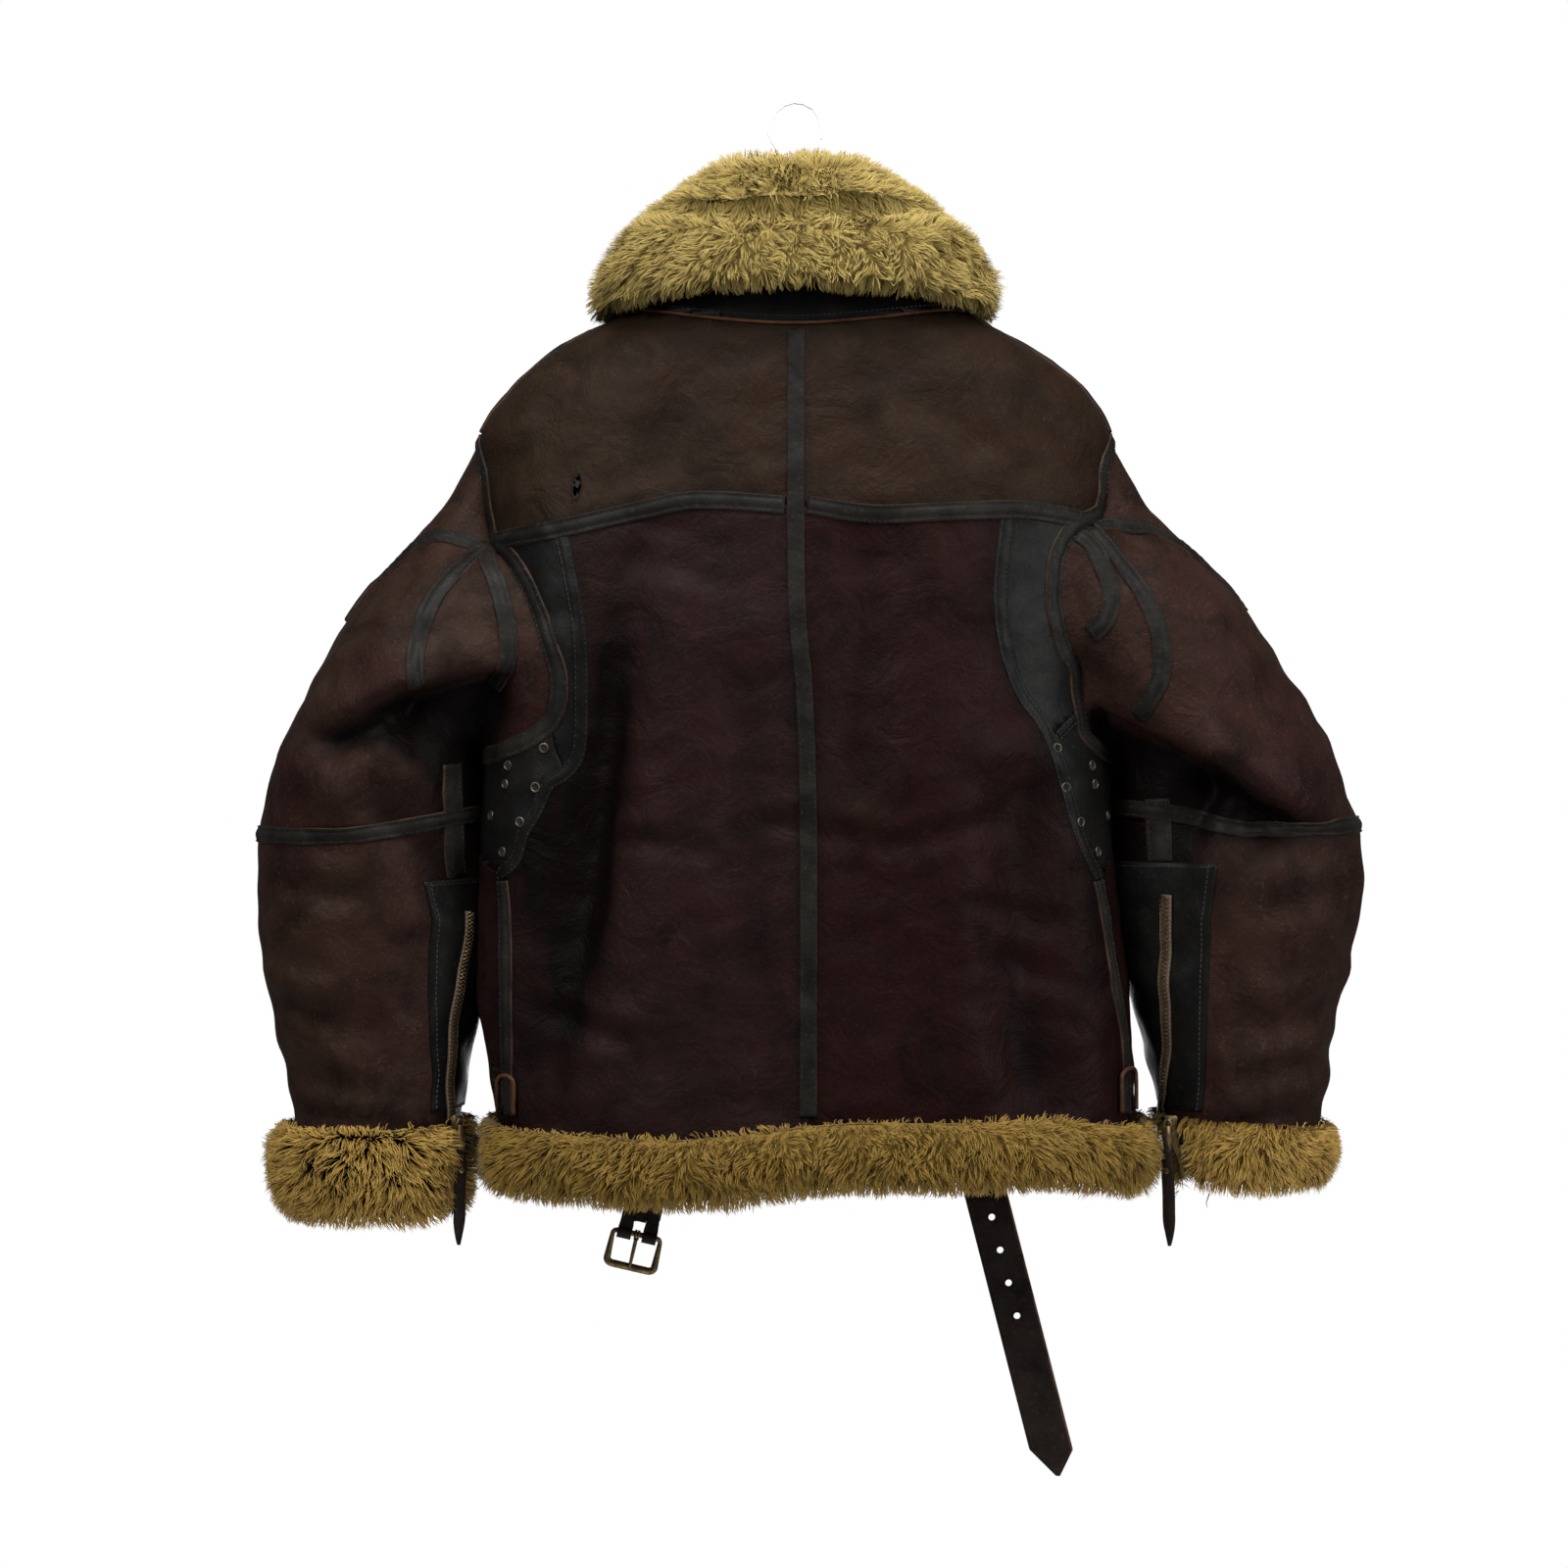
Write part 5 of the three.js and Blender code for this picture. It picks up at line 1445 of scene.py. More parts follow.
def slider_mesh(width, thick, length, off, top):
    """A slider: a waisted body with a bridge that the tab hangs on."""
    w, h = width / 2, length
    outline = [(-w, top - 1), (-w + 1, top), (w - 1, top), (w, top - 1), (w * 0.9, top - h * 0.45),
               (w * 0.62, top - h + 1), (w * 0.4, top - h), (-w * 0.4, top - h), (-w * 0.62, top - h + 1),
               (-w * 0.9, top - h * 0.45)]
    joined = Joined()
    for level in (off + thick * 0.16, off + thick * 0.62):
        points, faces = plate(outline, thick * 0.28, 0.5)
        joined.add(points + np.array([0, -level, 0]), faces)
    add_block(joined, np.array([0, -off - thick * 0.4, top - h * 0.4]), np.array([1.2, 0, 0]),
              np.array([0, 0, h * 0.3]), np.array([0, -thick * 0.22, 0]))
    turns = np.linspace(0, math.pi, 12)
    deep, level = -off - thick * 0.72 - 1.3 * np.sin(turns), top - h * 0.42 + 3.6 * np.cos(turns)
    arch = np.stack([0 * turns, deep, level], axis=1)
    rings = [arch + np.array([sx * 1.1, 0, 0]) + np.array([0, sy * 0.4, 0]) for sx, sy in CORNERS]
    joined.add(*loft(np.stack(rings, axis=1)))
    return joined


def pull_mesh(width, thick, length, off, top):
    """A pull tab: a slim plate with a ring at its head and a round foot."""
    w, mid = width / 2, -off - thick / 2
    turns = np.linspace(math.pi, 2 * math.pi, 9)
    foot = [(w * 0.8 * math.cos(t), top - length + w * 0.8 + w * 0.8 * math.sin(t)) for t in turns]
    outline = [(w * 0.55, top - 4), (-w * 0.55, top - 4), (-w * 0.8, top - length * 0.5), *foot,
               (w * 0.8, top - length * 0.5)]
    joined = Joined()
    points, faces = plate(outline, thick, 0.4)
    joined.add(points + np.array([0, mid, 0]), faces)
    turns = full_turn(20)
    ring = np.stack([3.0 * np.cos(turns), 0 * turns + mid, top - 3.0 + 3.0 * np.sin(turns)], axis=1)
    joined.add(*round_loop(ring, 0.75, 8))
    return joined


THONG_SECTION = ((-1, 0.4), (-0.86, 1), (0, 1), (0.86, 1), (1, 0.4), (1, -0.4), (0.86, -1), (0, -1),
                 (-0.86, -1), (-1, -0.4))


def thong_piece(name, side, base, turn):
    """A leather thong folded through the tab and held by a rivet, with a pointed end."""
    width, thick, length, off, top = THONG
    half = width / 2
    sections = []
    for share in np.linspace(0, 1, 26):
        z = top + 6 - (length + 6) * share
        wide = half * (0.62 + 0.38 * min(1, share * 5)) * (1 - max(0, (share - 0.72) / 0.28) ** 1.6 * 0.86)
        sway = SIGN[side] * 1.6 * math.sin(share * 2.6) * share
        mid = -off - thick / 2 - 0.5 * math.sin(share * 5) - 0.4 * math.sin(share * 11)
        deep = thick / 2 * (1 if share > 0.2 else 1.15)
        sections.append([(sway + wide * cx, mid + deep * cy, z) for cx, cy in THONG_SECTION])
    points, faces = loft(np.array(sections))
    piece = new_piece(name, placed(points, base, turn), faces, STRAP, values={"edge": np.zeros(len(points))})
    settle(piece, [name], f"tab_{side}")
    rivet = Joined()
    turns = full_turn(16)
    rings = [np.stack([r * np.cos(turns), 0 * turns + level, top - 9 + r * np.sin(turns)], axis=1)
             for r, level in ((2.6, -off - thick + 0.4), (2.6, -off - thick - 0.5), (1.6, -off - thick - 1.1),
                              (0.3, -off - thick - 1.2))]
    points, faces = loft(np.stack(rings))
    rivet.add(placed(points, base, turn), faces)
    piece = rivet.piece(f"thong_rivet_{side}", BRASS)
    settle(piece, (), f"tab_{side}")


def brass_piece(name, joined, base, turn, body):
    joined.move(lambda points: placed(points, base, turn))
    settle(joined.piece(name, BRASS), [name], body)


def make_sliders():
    for side in SIDES:
        base, turn = slider_place(side)
        brass_piece(f"zip_slider_{side}", slider_mesh(*SLIDER), base, turn, "root")
        brass_piece(f"zip_tab_{side}", pull_mesh(*CUFF_TAB), base, turn, f"tab_{side}")
        thong_piece(f"zip_thong_{side}", side, base, turn)
    row = body_row(np.array([float(FRONT_PULL[-1])]))
    chest = np.array([0, float(row[3][0]), 0])
    brass_piece("front_slider", slider_mesh(*FRONT_SLIDER), chest, math.pi, "root")
    brass_piece("front_pull", pull_mesh(*FRONT_PULL), chest, math.pi, "pull_front")


# Fur forms, whose sections are closed rows
# Collar: height, half width, depth behind, depth in front
COLLAR = np.array([
    (-127.5, 66, 50, 60), (-92, 52, 44, 56), (-60, 54, 48, 60), (-45, 66, 60, 70), (-51, 85, 76, 84),
    (-69, 106, 89, 98), (-100, 131, 101, 112), (-138, 144, 107, 120), (-150, 139, 98, 114),
    (-147, 120, 81, 97), (-108, 105, 77, 90), (-82, 84, 67, 78), (-96, 77, 62, 72), (-127.5, 83, 65, 75),
], dtype=float)
# Share of the table's half width that the fur keeps at each height
COLLAR_WIDTH = np.array([
    (-38, 0.78), (-52, 0.81), (-66, 0.86), (-80, 0.93), (-94, 1.0), (-122, 1.02), (-150, 1.0),
])
COLLAR_REACH = 2.76
COLLAR_CREASE = ((-96, -88), (-40, -95), (30, -93), (104, -86))
# Hem: distance from the surface, height
HEM_SECTION = np.array([
    (0.6, -721), (10, -719), (18, -730), (21, -748), (15, -764), (4, -771), (-9, -768), (-9, -735.7),
    (0.6, -735.7),
], dtype=float)
HEM_GAP = 0.03
# How far the hem's fur rises behind: across, up
HEM_WAVE = ((-230, 0), (-150, -2), (-90, -4), (-40, 0), (0, 6), (40, 9), (110, 8), (180, 9), (230, 0))
# Cuff: place on the sleeve, distance from its surface, share of the cuff's length
CUFF_SECTION = np.array([
    (10.6, 0.6, 0), (10.6, 11, 0), (10.85, 18, 0), (11, 20, 0.33), (11, 16, 0.78), (11, 4, 1), (11, -9, 0.9),
    (11, -9, 0.012), (11, 0.6, 0.012),
], dtype=float)
CUFF_LENGTH = {"left": 54, "right": 31}
CUFF_PUFF = {"left": 1.0, "right": 0.7}
CUFF_GAP = 0.6
PRESSED = {"left": 0.62, "right": 0.28}


def collar_form(u, v):
    """The collar's fur: a closed section swept round the neck, open in front."""
    u, v = np.broadcast_arrays(u, v)
    row = closed_rows(COLLAR, v)
    angle = math.pi / 2 - COLLAR_REACH + 2 * COLLAR_REACH * u
    wide = np.interp(-row[..., 0], -COLLAR_WIDTH[:, 0], COLLAR_WIDTH[:, 1])
    point = oval(0, row[..., 1] * wide, row[..., 2], row[..., 3], angle, row[..., 0])
    low = np.clip((-100 - point[..., 2]) / 40, 0, 1)
    point[..., 2] += low * (5 - 11 * (point[..., 0] / 140) ** 2)
    outer = np.exp(-((v - 5.6 / 14) / (1.6 / 14)) ** 2) * (np.sin(angle) > 0)
    crease = height_of(COLLAR_CREASE, point[..., 0])
    reach = np.clip((118 - np.abs(point[..., 0] - 5)) / 22, 0, 1)
    trough = 8 * np.exp(-((point[..., 2] - crease) / 7) ** 2)
    trough -= 3 * np.exp(-((point[..., 2] - crease - 15) / 9) ** 2)
    lumps = 1.8 * waves(point, 60, 9, 21) + 0.9 * waves(point, 28, 9, 22)
    push = -outer * reach * trough + lumps * np.clip(np.minimum(v * 7, (10 / 14 - v) * 7), 0, 1)
    size = np.linalg.norm(point[..., :2], axis=-1, keepdims=True)
    point[..., :2] *= 1 + push[..., None] / np.maximum(size, 1)
    return point


def hem_form(u, v):
    """The hem's fur: a closed section swept round the foot of the body, open at the front zip."""
    u, v = np.broadcast_arrays(u, v)
    row = closed_rows(HEM_SECTION, v)
    angle = HEM_GAP - math.pi / 2 + 2 * (math.pi - HEM_GAP) * u
    off, z = row[..., 0], row[..., 1]
    off = np.where(off > 1, off * (1 - 0.2 * np.cos(angle) ** 4), off)
    normal = body_skin(angle, np.maximum(z, HEM_Z + 5))[1]
    point = body_bare(angle, np.maximum(z, HEM_Z)) + normal * off[..., None]
    behind = np.sin(angle) > 0
    point[..., 2] = z + np.where(behind, height_of(HEM_WAVE, point[..., 0]), 0)
    lumps = 1.5 * waves(point, 46, 9, 23) + 0.8 * waves(point, 24, 9, 24)
    return point + normal * (lumps * np.clip((off - 1) / 9, 0, 1))[..., None]


def cuff_form(side):
    """A cuff's fur: a closed section swept round the end of a sleeve, open at its zip."""
    first = (ZIP_STEP[side] + CUFF_GAP) / STEPS_ROUND * 2 * math.pi
    whole = 2 * math.pi * (1 - 2 * CUFF_GAP / STEPS_ROUND)

    def form(u, v):
        u, v = np.broadcast_arrays(u, v)
        row = closed_rows(CUFF_SECTION, v)
        angle = first + whole * u
        off = row[..., 1]
        squeeze = 1 - (1 - PRESSED[side]) * ((1 - np.cos(angle)) / 2) ** 2
        off = np.where(off > 1, off * squeeze * CUFF_PUFF[side], off)
        point, radial = sleeve_skin(side, np.clip(row[..., 0], 10, CUFF), angle, off)
        point[..., 2] -= row[..., 2] * CUFF_LENGTH[side]
        lumps = 1.2 * waves(point, 40, 9, 25) + 0.8 * waves(point, 22, 9, 26)
        return point + radial * (lumps * np.clip((off - 1) / 9, 0, 1))[..., None]

    return form


def hang_down(roots, out):
    """Locks lie down a band, and lean from its back and its front towards its sides."""
    return np.stack([0 * roots[:, 0], -0.9 * np.sign(roots[:, 1]), np.full(len(roots), -1.0)], axis=1)


def collar_comb(roots, out):
    radial = unit(roots * np.array([1, 1, 0]))
    way = hang_down(roots, out)
    way[(out * radial).sum(axis=1) < -0.3] = np.array([0, 0, 1.0])
    return way


def band_density(u, v):
    """Full on the outside rows of a hem or cuff, thin on the lining side and least where it is hidden."""
    place = np.mod(v, 1) * len(HEM_SECTION)
    full = np.where(place < 5.4, 1.0, 0.35)
    return np.where(place > 7.2, 0.06, full)


def collar_density(u, v):
    """Full where the collar shows from behind, thinner on its inside and at its front ends."""
    place = v * len(COLLAR)
    full = np.where((place > 2.4) & (place < 8.8), 1.0, 0.45)
    full = np.where((place > 9.2) & (place < 13.5), 0.05, full)
    return full * np.where(np.abs(u - 0.5) < 0.3, 1.0, 0.72)


LOCKS = {"collar": 24600, "hem": 25500, "left": 11500, "right": 10500}


def make_fur():
    fur("collar_fur", inset(collar_form, 8.5), LOCKS["collar"], 12.0, collar_comb, collar_density,
        FUR_COLLAR, 31, (104, 84), upright=0.2)
    fur("hem_fur", inset(hem_form, 6.5), LOCKS["hem"], 12.5, hang_down, band_density, FUR_HEM, 32, (150, 28))
    for side in SIDES:
        fur(f"cuff_fur_{side}", inset(cuff_form(side), 5.5), LOCKS[side], 12.5, hang_down, band_density,
            FUR_CUFF, 33 + SIGN[side], (80, 28))


# Trim of the body: piping, stitch rows, eyelets, side loops and a small tear
# Near-black painted shade standing for the insides of eyelet holes and the tear's gap
HOLE_SHADE = plain_material("hole_shade", (7, 6, 6), (4, 4, 4), 200, 0.9)


def laid(surface, line, step):
    """Points of a line on a surface, and smooth normals there."""
    spots, normals = surface.lay(surface.project(line, step))
    return spots, unit(smooth_along(normals, 2))


def make_stay_trim(body):
    """Piping along the foot of the neck stay, and a row of stitches above it."""
    spots, normals = laid(body, [(-116, -155), *STAY_LINE, (119, -154)], 2.0)
    points, faces = round_loop(spots + normals * 0.8, 1.2, 7, closed=False)
    piece = new_piece("stay_piping", points, faces, PIPING, values={"edge": np.zeros(len(points))})
    settle(piece)
    sew(*laid(body, [(x, z + 5.5) for x, z in STAY_LINE], 2.4), lift=0.3)


def edge_strip(name, surface, line, half):
    """A turned edge of leather along a seam, with two rows of stitches."""
    tape(name, surface, surface.project(line, TAPE_STEP), half, "leather_black", BLACK, (), rise=0.42)


ROUND_SIDES = 14


def circles_at(centre, normal, rows):
    """Circles about a normal, each given by its radius and its height."""
    a = unit(np.cross(normal, np.array([0, 0, 1.0])))
    b = np.cross(normal, a)
    ways = [a * math.cos(t) + b * math.sin(t) for t in full_turn(ROUND_SIDES)]
    return np.array([[centre + way * size + normal * high for way in ways] for size, high in rows])


def ring_at(joined, centre, normal, radius, thick):
    rows = [(radius + thick * math.cos(turn), 0.25 + thick * math.sin(turn)) for turn in full_turn(6)]
    points = circles_at(centre, normal, rows).reshape(-1, 3)
    joined.add(points, (grid_faces(7, ROUND_SIDES) % len(points)).tolist())


def disc_at(joined, centre, normal, radius):
    rows = ((radius, -0.6), (radius, 0.28), (radius * 0.5, 0.2))
    joined.add(*loft(circles_at(centre, normal, rows)))


def make_eyelets(body):
    rims, holes = Joined(), Joined()
    spots = [*EYELETS, *[(6 - x, z) for x, z in EYELETS]]
    for x, z in spots:
        place, normal = body.shoot(x, z)
        if place is None:
            continue
        place, normal = np.array(place), np.array(normal)
        ring_at(rims, place, normal, 3.0, 0.85)
        # Each hole is a near-black disc of painted shade
        disc_at(holes, place, normal, 2.6)
    settle(rims.piece("eyelet_rims", DULL_METAL))
    settle(holes.piece("eyelet_holes", HOLE_SHADE))


VENT_EDGE = [(203, -433), (190, -444), (181, -453)]


def make_trim(body):
    make_stay_trim(body)
    for side in SIDES:
        line = [*PATCH_LINE[side], SIDE_SEAM[side][0], SIDE_TAPE[side][0]]
        edge_strip(f"patch_edge_{side}", body, line, 5.2)
        make_loop(side, body)
    edge_strip("vent_edge_right", body, VENT_EDGE, 3.6)
    make_tear(body)


def make_loop(side, body):
    """A doubled brown piping loop near the hem, with a black tab under it on the left."""
    (x, top), (_, foot) = SIDE_LOOPS[side]
    half = 6.0
    turns = np.linspace(0, math.pi, 13)
    arch = [(x + half * math.cos(t), top - half + half * math.sin(t)) for t in turns]
    outline = [(x + half, foot), *arch, (x - half, foot)]
    flat = resample(np.array(outline), 1.6)
    found = []
    for px, pz in flat:
        place, normal = body.shoot(px, pz)
        if place is not None:
            found.append(np.array(place) + np.array(normal) * 2.9)
    points, faces = round_loop(np.array(found), 1.5, 8, closed=False)
    piece = new_piece(f"side_loop_{side}", points, faces, PIPING, values={"edge": np.zeros(len(points))})
    settle(piece, [f"side_loop_{side}"])
    if side == "left":
        line = [(x - 7.0, top + 4), (x - 7.5, foot + 2)]
        tape("side_tab", body, body.project(line, TAPE_STEP), 7.5, "leather_black", BLACK, (), rise=1.1)


# Tear: middle, half width, half height
TEAR = (-151, -280.5)
TEAR_HALF = (3.0, 8.0)
TEAR_SIDES = 22


def make_tear(body):
    """A small ragged tear in the left yoke: a gap filled with near-black painted shade, with curled lips."""
    draw = np.random.default_rng(51)
    rough = draw.uniform(0.82, 1.18, TEAR_SIDES)
    rings = []
    for scale, high in ((1.45, -0.1), (1.2, 0.9), (1.0, 0.75), (0.9, 0.1), (0.5, 0.08)):
        ring = []
        for turn, uneven in zip(full_turn(TEAR_SIDES), rough):
            dx = TEAR_HALF[0] * scale * uneven * math.cos(turn)
            dz = TEAR_HALF[1] * scale * uneven * math.sin(turn)
            place, normal = body.shoot(TEAR[0] + dx + 0.12 * dz, TEAR[1] + dz)
            ring.append(np.array(place) + np.array(normal) * high)
        rings.append(ring)
    rings = np.array(rings)
    lips, faces = loft(rings[:4], caps=False)
    piece = new_piece("tear_lips", lips, faces, YOKE_BROWN, values={"seam": np.full(len(lips), 6.0)})
    settle(piece)
    gap, faces = loft(rings[3:])
    settle(new_piece("tear_gap", gap, faces, HOLE_SHADE))


# Belt straps: height, distance from the front, half width, as in the solids
STRAP_HALF = 16.5
STRAP_THICK = 3.0
STRAP_TOP = [
    (-686, 0.6, 14), (-692, 0.6, STRAP_HALF), (-700, 0.8, STRAP_HALF), (-712, 15, STRAP_HALF),
    (-722, 23, STRAP_HALF), (-738, 27, STRAP_HALF), (-770, 27, STRAP_HALF),
]
LONG_STRAP = [*STRAP_TOP, (-988, 27, STRAP_HALF), (-1008, 27, 1.5)]
SHORT_STRAP = [*STRAP_TOP, (-800, 27, 15), (-816, 27, 15)]
LONG_X = (145.3, -800.7, -0.2558)
SHORT_X = (-116, -812, 0.231)
STRAP_Y = 128
BELT_HOLES = (-812.5, -837.3, -862.1, -886.9)
HOLE_RADIUS = 2.6
TILT = math.radians(13)
BAR_PLACE = np.array([-119.3, 129.5, -826])
FRAME_HALF = 20
FRAME_DROP = 28
FRAME_BAR = 3.5
FRAME_FOOT = 6.5


def strap_middle(line, z):
    return line[0] + line[2] * (z - line[1])


def strap_points(rows, line, s, z, depth):
    """Points of a strap at shares of its half width, at heights and at a depth into its thickness."""
    table = np.array(rows, dtype=float)
    lift = np.interp(-z, -table[:, 0], table[:, 1])
    half = np.interp(-z, -table[:, 0], table[:, 2])
    x = strap_middle(line, z) + s * half
    level = np.maximum(z, HEM_Z)
    near = -body_bare(angle_at(x, level, False), level)[..., 1]
    near = np.abs(near) + lift
    flat = np.clip((-740 - z) / 60, 0, 1)
    y = near + (STRAP_Y - near) * flat
    round_edge = 1 - np.abs(s) ** 10
    y = y + STRAP_THICK / 2 + (depth - STRAP_THICK / 2) * (0.45 + 0.55 * round_edge)
    y = y + 0.35 * waves(np.stack([x, 0 * x, z], axis=-1), 26, 7, 61)
    y = y + 0.9 * np.sin(z / 40 + 1) * s ** 2 * (z < -800)
    return np.stack([x, y, z], axis=-1)


def punch(faces, flat_x, flat_s, flat_z, half, line, level):
    """The faces outside a hole, once the points round it are moved on to its edge."""
    hole = np.array([strap_middle(line, level), level])
    place = np.stack([flat_x, flat_z], axis=1)
    gap = np.linalg.norm(place[faces].mean(axis=1) - hole, axis=1)
    ring = np.unique(faces[gap < HOLE_RADIUS + 0.2])
    faces = faces[gap >= HOLE_RADIUS + 0.2]
    ring = ring[np.isin(ring, faces)]
    wanted = hole + unit(place[ring] - hole) * HOLE_RADIUS
    flat_z[ring] = wanted[:, 1]
    flat_s[ring] = (wanted[:, 0] - strap_middle(line, wanted[:, 1])) / half[ring]
    return faces


def trim_strap(name, rows, line, holes):
    """A row of stitches along each edge of a strap, and a rim round each of its holes."""
    outward = np.array([0, -1.0, 0])
    for hand in (-0.8, 0.8):
        run = np.arange(-745, rows[-1][0] + 14, -2.0)
        spots = strap_points(rows, line, np.full_like(run, hand), run, 0.0)
        sew(spots, np.tile(outward, (len(run), 1)), 0.05)
    rims = Joined()
    for level in holes:
        spot = strap_points(rows, line, np.array([0.0]), np.array([float(level)]), 0.0)[0]
        centre = np.array([strap_middle(line, level), spot[1], level])
        ring_at(rims, centre, outward, HOLE_RADIUS + 0.55, 0.5)
    if holes:
        settle(rims.piece(f"{name}_rims", STRAP))


def make_strap(name, rows, line, holes):
    s = np.linspace(-1, 1, 25)
    z = np.arange(rows[0][0], rows[-1][0] - 0.1, -1.6)
    grid_z, grid_s = np.meshgrid(z, s, indexing="ij")
    faces = grid_faces(len(z), len(s), closed=False)
    x = strap_points(rows, line, grid_s, grid_z, 0)[..., 0]
    flat_s, flat_z, flat_x = grid_s.ravel().copy(), grid_z.ravel().copy(), x.ravel()
    half = np.interp(-flat_z, -np.array(rows)[:, 0], np.array(rows)[:, 2])
    for level in holes:
        faces = punch(faces, flat_x, flat_s, flat_z, half, line, level)
    near = strap_points(rows, line, flat_s, flat_z, 0.0)
    far = strap_points(rows, line, flat_s, flat_z, STRAP_THICK)
    points, skins, used = shell(near, far, faces)
    edge = np.tile(np.where(flat_s[used] > 0, flat_s[used], 0), 2)
    piece = new_piece(name, points, skins, STRAP, values={"edge": np.clip(edge * 1.02, 0, 1)})
    settle(piece, [name])
    trim_strap(name, rows, line, holes)


def tilted(points):
    """Points given about the buckle's bar, turned with it and moved to its place."""
    c, s = math.cos(TILT), math.sin(TILT)
    return np.asarray(points) @ np.array([[c, 0, -s], [0, 1, 0], [s, 0, c]]) + BAR_PLACE


# Prong: height, depth, half width
PRONG_ROWS = ((-2, -3.4, 1.5), (-4.5, -3.5, 1.5), (-8, -3.3, 1.5), (-16, -3.25, 1.4), (-23, -3.2, 1.2),
              (-25.6, -3.1, 0.9), (-26.4, -3.0, 0.4))


def make_buckle():
    mid = FRAME_HALF - FRAME_BAR / 2
    foot = -FRAME_DROP + FRAME_FOOT / 2
    path = rounded_square(2 * mid, 5)
    path = np.array([(x, 0.0, z * (1.0 - foot) / (2 * mid) + (1.0 + foot) / 2) for x, z in path])
    frame_mesh = Joined()
    low = np.clip((-path[:, 2] - 12) / 12, 0, 1)
    frame_mesh.add(*round_loop(path, 1.75 + 1.2 * low, 12, flat=0.9))
    rod = np.array([(x, 0.0, 0.0) for x in np.linspace(-mid, mid, 8)])
    frame_mesh.add(*round_loop(rod, 1.7, 12, closed=False))
    frame_mesh.move(tilted)
    settle(frame_mesh.piece("buckle_frame", BRASS), ["buckle_frame"], "frame_body")
    prong = Joined()
    turns = full_turn(20)
    for offset in (-1.1, 1.1):
        curl = np.stack([0 * turns + offset, 3.1 * np.cos(turns), 3.1 * np.sin(turns)], axis=1)
        rings = [curl + np.array([dx, 0, 0]) for dx in (-0.9, 0.9)]
        wider = [curl * np.array([1, 1.28, 1.28]) + np.array([dx, 0, 0]) for dx in (0.9, -0.9)]
        add_tube(prong, [*rings, *wider])
    rings = []
    for high, deep, wide in PRONG_ROWS:
        rings.append([(wide * math.cos(t), deep + min(0.9, wide) * math.sin(t), high) for t in turns])
    prong.add(*loft(np.array(rings)))
    prong.move(tilted)
    settle(prong.piece("buckle_prong", BRASS), ["buckle_prong"], "prong_body")


def make_strap_end():
    """The short strap's end, wrapped round the buckle's bar on both sides of the prong."""
    wrap = Joined()
    turns = full_turn(24)
    for low, high in ((-15, -4.2), (4.2, 15)):
        rings = []
        for radius, x in ((4.9, low), (4.9, high), (2.5, high), (2.5, low)):
            ring = np.stack([0 * turns, radius * np.cos(turns), radius * np.sin(turns)], axis=1)
            rings.append(ring + np.array([x, 0, 0]))
        add_tube(wrap, rings)
    for middle, half, low, high in ((-9.5, 5.5, 4.3, 16.7), (9.5, 5.5, 4.3, 16.7), (0, 4.5, 10.5, 16.7)):
        centre = np.array([middle, 0, (low + high) / 2])
        up = np.array([0, 0, (high - low) / 2])
        add_block(wrap, centre, np.array([half, 0, 0]), np.array([0, 2.7, 0]), up)
    wrap.move(tilted)
    points = np.concatenate(wrap.points)
    edge = np.zeros(len(points))
    settle(new_piece("strap_end", points, wrap.faces, STRAP, False, {"edge": edge}))


def make_belt():
    make_strap("belt_strap", LONG_STRAP, LONG_X, BELT_HOLES)
    make_strap("buckle_strap", SHORT_STRAP, SHORT_X, ())
    make_strap_end()
    make_buckle()


# Hanger and hook keep their solids and only take a material
def make_hanger():
    for name, slot in (("hanger", "hanger_white"), ("hook", "hook_wire")):
        piece = bpy.data.objects[name]
        piece.data.materials.clear()
        piece.data.materials.append(HANGER_WHITE)


# Room, light and camera
# Lights: name, place, aim, size, power
LIGHTS = (
    ("key", (-1.6, -1.9, 0.9), (0, 0, -0.5), (1.1, 1.1), 62),
    ("fill", (2.1, -1.5, 0.1), (0, 0, -0.5), (1.1, 1.6), 56),
    ("top", (0.1, -0.9, 1.3), (0, 0, -0.2), (1.4, 0.8), 62),
    ("rear", (0, 2.4, -0.3), (0, 0, -0.5), (1.4, 1.4), 44),
)
CAMERA_PLACE = (-0.0084, -2.3, -0.4858)
CAMERA_LENS = 73.93
FLOOR_RADIUS = 1150
FLOOR_Z = -1350


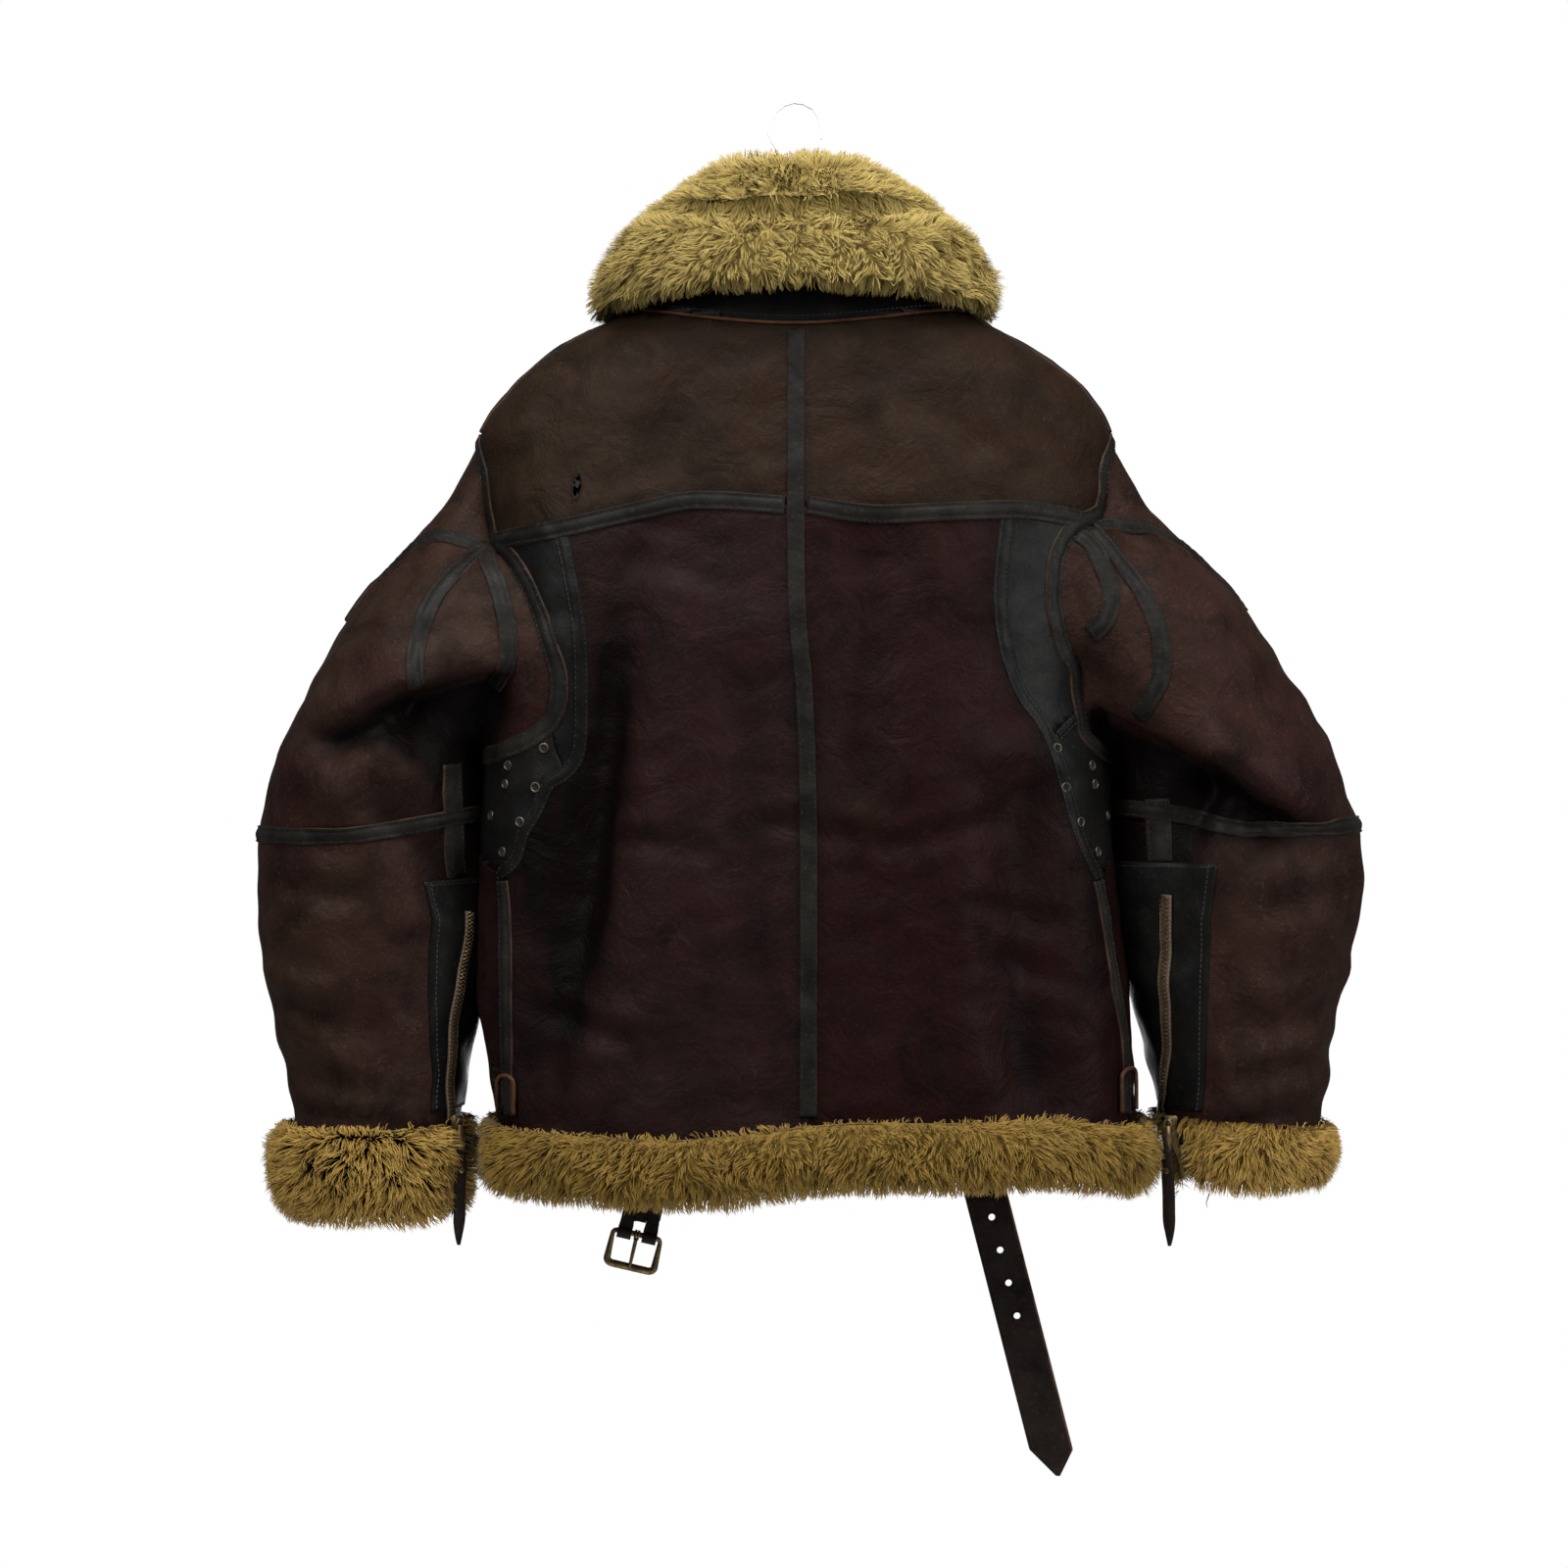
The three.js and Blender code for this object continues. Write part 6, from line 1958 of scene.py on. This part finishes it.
def area_light(name, place, aim, size, power):
    data = bpy.data.lights.new(name, "AREA")
    data.shape = "RECTANGLE"
    data.size, data.size_y = size
    data.energy = power
    lamp = bpy.data.objects.new(name, data)
    lamp.location = place
    lamp.rotation_euler = (Vector(aim) - Vector(place)).to_track_quat("-Z", "Y").to_euler()
    bpy.context.scene.collection.objects.link(lamp)


def make_world():
    world = bpy.data.worlds.new("room")
    bpy.context.scene.world = world
    world.use_nodes = True
    tree = world.node_tree
    tree.nodes.clear()
    soft = node(tree, "Background", {"Color": (0.97, 0.98, 1.0, 1.0), "Strength": 0.16})
    plain = node(tree, "Background", {"Color": (1.0, 1.0, 1.0, 1.0), "Strength": 1.0})
    seen = node(tree, "LightPath").outputs["Is Camera Ray"]
    blend = node(tree, "MixShader")
    tree.links.new(seen, blend.inputs[0])
    tree.links.new(soft.outputs[0], blend.inputs[1])
    tree.links.new(plain.outputs[0], blend.inputs[2])
    output = node(tree, "OutputWorld")
    tree.links.new(blend.outputs[0], output.inputs["Surface"])


def make_room():
    turns = full_turn(64)
    across, deep = FLOOR_RADIUS * np.cos(turns), FLOOR_RADIUS * np.sin(turns)
    rings = [np.stack([across, deep, 0 * turns + z], axis=1) for z in (FLOOR_Z - 2, FLOOR_Z)]
    points, faces = loft(np.stack(rings))
    pale = plain_material("floor", (238, 238, 238), (232, 232, 232), 4)
    new_piece("floor", points, faces, pale)
    make_world()
    for row in LIGHTS:
        area_light(*row)


def make_camera():
    data = bpy.data.cameras.new("camera")
    data.lens = CAMERA_LENS
    data.sensor_width = 36
    camera = bpy.data.objects.new("camera", data)
    camera.location = CAMERA_PLACE
    camera.rotation_euler = (math.pi / 2, 0, 0)
    bpy.context.scene.collection.objects.link(camera)
    bpy.context.scene.camera = camera
    bpy.context.scene.view_settings.view_transform = "Standard"


def make_jacket():
    body = body_surface()
    make_panels()
    sleeves = make_sleeves()
    make_body_tapes(body)
    for side in SIDES:
        make_sleeve_tapes(side, sleeves[side])
        make_zip_panel(side)
        make_zip(side)
    make_trim(body)
    make_eyelets(body)
    make_sliders()
    make_belt()
    make_fur()
    make_hanger()
    settle(stitches.piece("stitches", THREAD, smooth=False))


make_jacket()
make_room()
make_camera()
